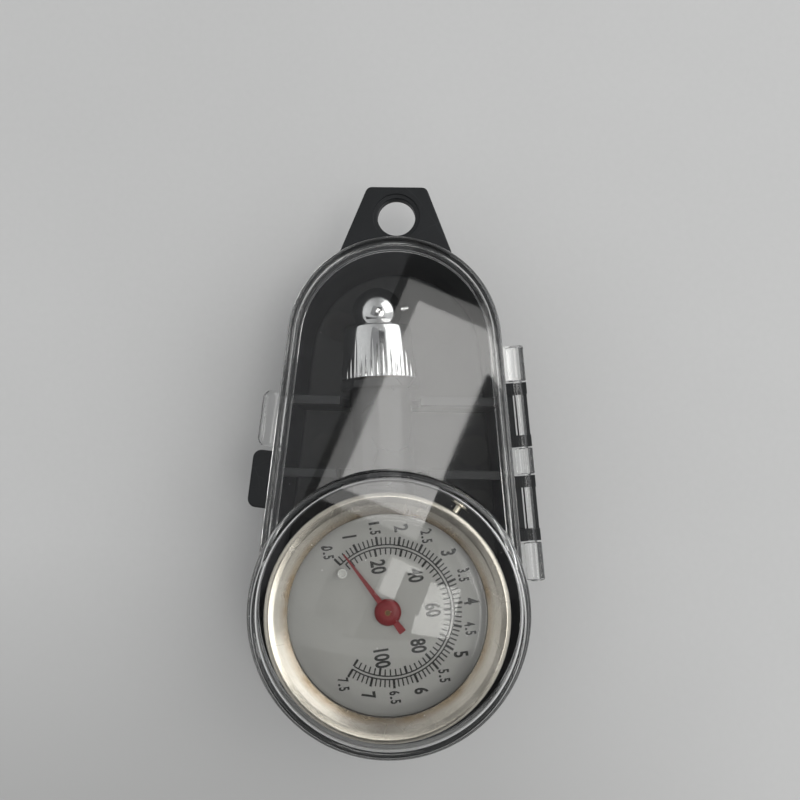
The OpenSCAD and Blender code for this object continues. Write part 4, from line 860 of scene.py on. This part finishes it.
piece("nub", lathe(nubProfile, 64), "chuck", finishes["chrome"], ["deflator_nub"], onNub, sharp=40)

button = {"disc": 1.45, "discLow": 20.25, "discTop": 21.15, "shank": 1.0, "flange": 2.5, "flangeAt": 26.5,
          "top": 27.5}
buttonProfile = softened([
    (0, 19.85), (0.5, 19.85), (0.5, button["discLow"]), (button["disc"], button["discLow"]),
    (button["disc"], button["discTop"]), (button["shank"], button["discTop"]),
    (button["shank"], button["flangeAt"]), (button["flange"], button["flangeAt"], 0.25),
    (button["flange"], button["top"], 0.3), (1.9, button["top"], 0.1), (1.75, 27.38), (0, 27.42)],
    closed=False)
piece("push_button", lathe(buttonProfile, 96), "button", finishes["button_nickel"], ["release_button"],
      alongButton, sharp=35)
print("stem and chuck made")

floor = Finish("table")
cloudy = floor.noise(160, 4.0)
fine = floor.noise(1.6, 3.0)
shade = floor.tint(floor.spread(cloudy * 0.8 + fine * 0.2, 0.35, 0.65),
                   (0.60, 0.60, 0.595), (0.64, 0.64, 0.635))
across, along = (floor.add("ShaderNodeSeparateXYZ", {}, {"Vector": floor.spot()}, output=axis)
                 for axis in "XY")
# painted shadow: the table is coloured darker towards the near edge and towards the left, in place of the
# soft shadow there
paintedShadow = floor.spread(along, 0.01, -0.05, 0.0, 1.0) * floor.spread(across, 0.02, 0.09, 1.0, 0.15)
floor.put("baseColor", floor.tint(paintedShadow, shade, (0.48, 0.48, 0.475)))
floor.put("roughness", 0.55)
floor.put("normal", floor.bump(fine, 0.08, 0.02))
bpy.ops.mesh.primitive_plane_add(size=6)
table = bpy.context.object
table.name = "table_top"
table.data.materials.append(floor.material)


def lamp(name, at, size, angle, bright, tone):
    # a panel that faces down, or the object where no angle is given; bright 1 shows as white
    light = bpy.data.lights.new(name, "AREA")
    light.shape, light.size, light.size_y, light.color = "RECTANGLE", size[0], size[1], tone
    light.energy = bright * math.pi * size[0] * size[1]
    holder = bpy.data.objects.new(name, light)
    bpy.context.collection.objects.link(holder)
    if angle is None:
        facing = (-Vector(at)).to_track_quat("-Z", "Y").to_matrix().to_4x4()
    else:
        facing = Matrix.Rotation(math.radians(angle), 4, "Z")
    holder.matrix_world = Matrix.Translation(at) @ facing


lamps = {   # centre, width and length in metres, turn about Z in degrees, brightness, tint
    "tall_panel": ((0.055, 0.093, 0.9), (0.20, 0.245), -22.5, 2.1, (1.0, 0.99, 0.97)),
    "tall_halo": ((0.055, 0.093, 0.905), (0.245, 0.29), -22.5, 1.0, (1.0, 0.99, 0.97)),
    "wide_panel": ((0.312, -0.103, 0.9), (0.29, 0.35), -12.0, 3.3, (1.0, 0.99, 0.97)),
    "soft_side": ((1.25, 0.75, 1.0), (1.6, 1.6), None, 1.1, (1.0, 1.0, 1.0))}
for name, values in lamps.items():
    lamp(name, *values)
cards = {   # what the clear and bright parts mirror round the panels: centre, width and length, turn, grey
    "left_card": ((-0.28, 0.115, 0.95), (0.36, 0.75), -22.5, 0.55),
    "high_card": ((0.0, 0.05, 1.3), (0.95, 0.95), 0.0, 0.14),
    "low_card": ((0.132, 0.012, 0.88), (0.18, 0.23), -22.5, 0.3),
    "near_card": ((-0.3, -0.95, 0.8), (1.9, 1.15), 0.0, 0.08)}
for name, (at, size, angle, grey) in cards.items():
    bpy.ops.mesh.primitive_plane_add(size=1)
    card = bpy.context.object
    card.name = name
    card.data.transform(Matrix.Translation(at) @ Matrix.Rotation(math.radians(angle), 4, "Z")
                        @ Matrix.Diagonal((*size, 1, 1)))
    card.data.materials.append(Finish(name, baseColor=(grey, grey, grey * 1.03), roughness=0.9).material)
    card.visible_camera = card.visible_diffuse = card.visible_shadow = False

world = bpy.data.worlds.new("room")
bpy.context.scene.world = world
world.use_nodes = True
room = world.node_tree
where = put(room, "ShaderNodeTexCoord").outputs["Generated"]
size = put(room, "ShaderNodeVectorMath", {"operation": "ABSOLUTE"}, {0: where})
side = put(room, "ShaderNodeVectorMath", {"operation": "DOT_PRODUCT"},
           {0: size.outputs[0], 1: (0.9, -0.25, 0.15)})
lean = put(room, "ShaderNodeVectorMath", {"operation": "DOT_PRODUCT"}, {0: where, 1: (0.16, 0.12, 0.0)})
total = put(room, "ShaderNodeMath", {}, {0: side.outputs["Value"], 1: lean.outputs["Value"]})
# the room is brighter at both sides of the object, and the camera itself sees an even grey
ramp = put(room, "ShaderNodeMapRange", {}, {"Value": total.outputs[0], "From Min": -0.2, "From Max": 0.8,
                                            "To Min": 0.21, "To Max": 0.84})
ray = put(room, "ShaderNodeLightPath")
plain = put(room, "ShaderNodeMix", {}, {0: ray.outputs["Is Camera Ray"], 2: ramp.outputs[0], 3: 0.62})
room.links.new(plain.outputs[0], room.nodes["Background"].inputs["Strength"])
room.nodes["Background"].inputs["Color"].default_value = (0.98, 0.99, 1.0, 1)

view = {"focal": 866.0, "width": 800.0, "at": (4.21, 26.68, 207.46), "nadir": (12.0, 78.0), "yaw": 0.835}
wz = -Vector((view["nadir"][0] / view["focal"], view["nadir"][1] / view["focal"], 1)).normalized()
yaw = math.radians(view["yaw"])
up = Vector((math.sin(yaw), -math.cos(yaw), 0))
wy = (up - wz * up.dot(wz)).normalized()
wx = wy.cross(wz)
turn = Matrix((wx, wy, wz))   # rows are the world's axes seen from the camera
right, upward, back = turn @ Vector((1, 0, 0)), turn @ Vector((0, -1, 0)), turn @ Vector((0, 0, -1))
lens = bpy.data.cameras.new("camera")
lens.sensor_width, lens.lens = 36.0, 36.0 * view["focal"] / view["width"]
lens.clip_start, lens.clip_end = 0.005, 20
camera = bpy.data.objects.new("camera", lens)
bpy.context.collection.objects.link(camera)
pose = Matrix((right, upward, back)).transposed().to_4x4()
camera.matrix_world = Matrix.Translation(Vector(view["at"]) * mm) @ pose
bpy.context.scene.camera = camera
bpy.context.scene.view_settings.view_transform = "Standard"
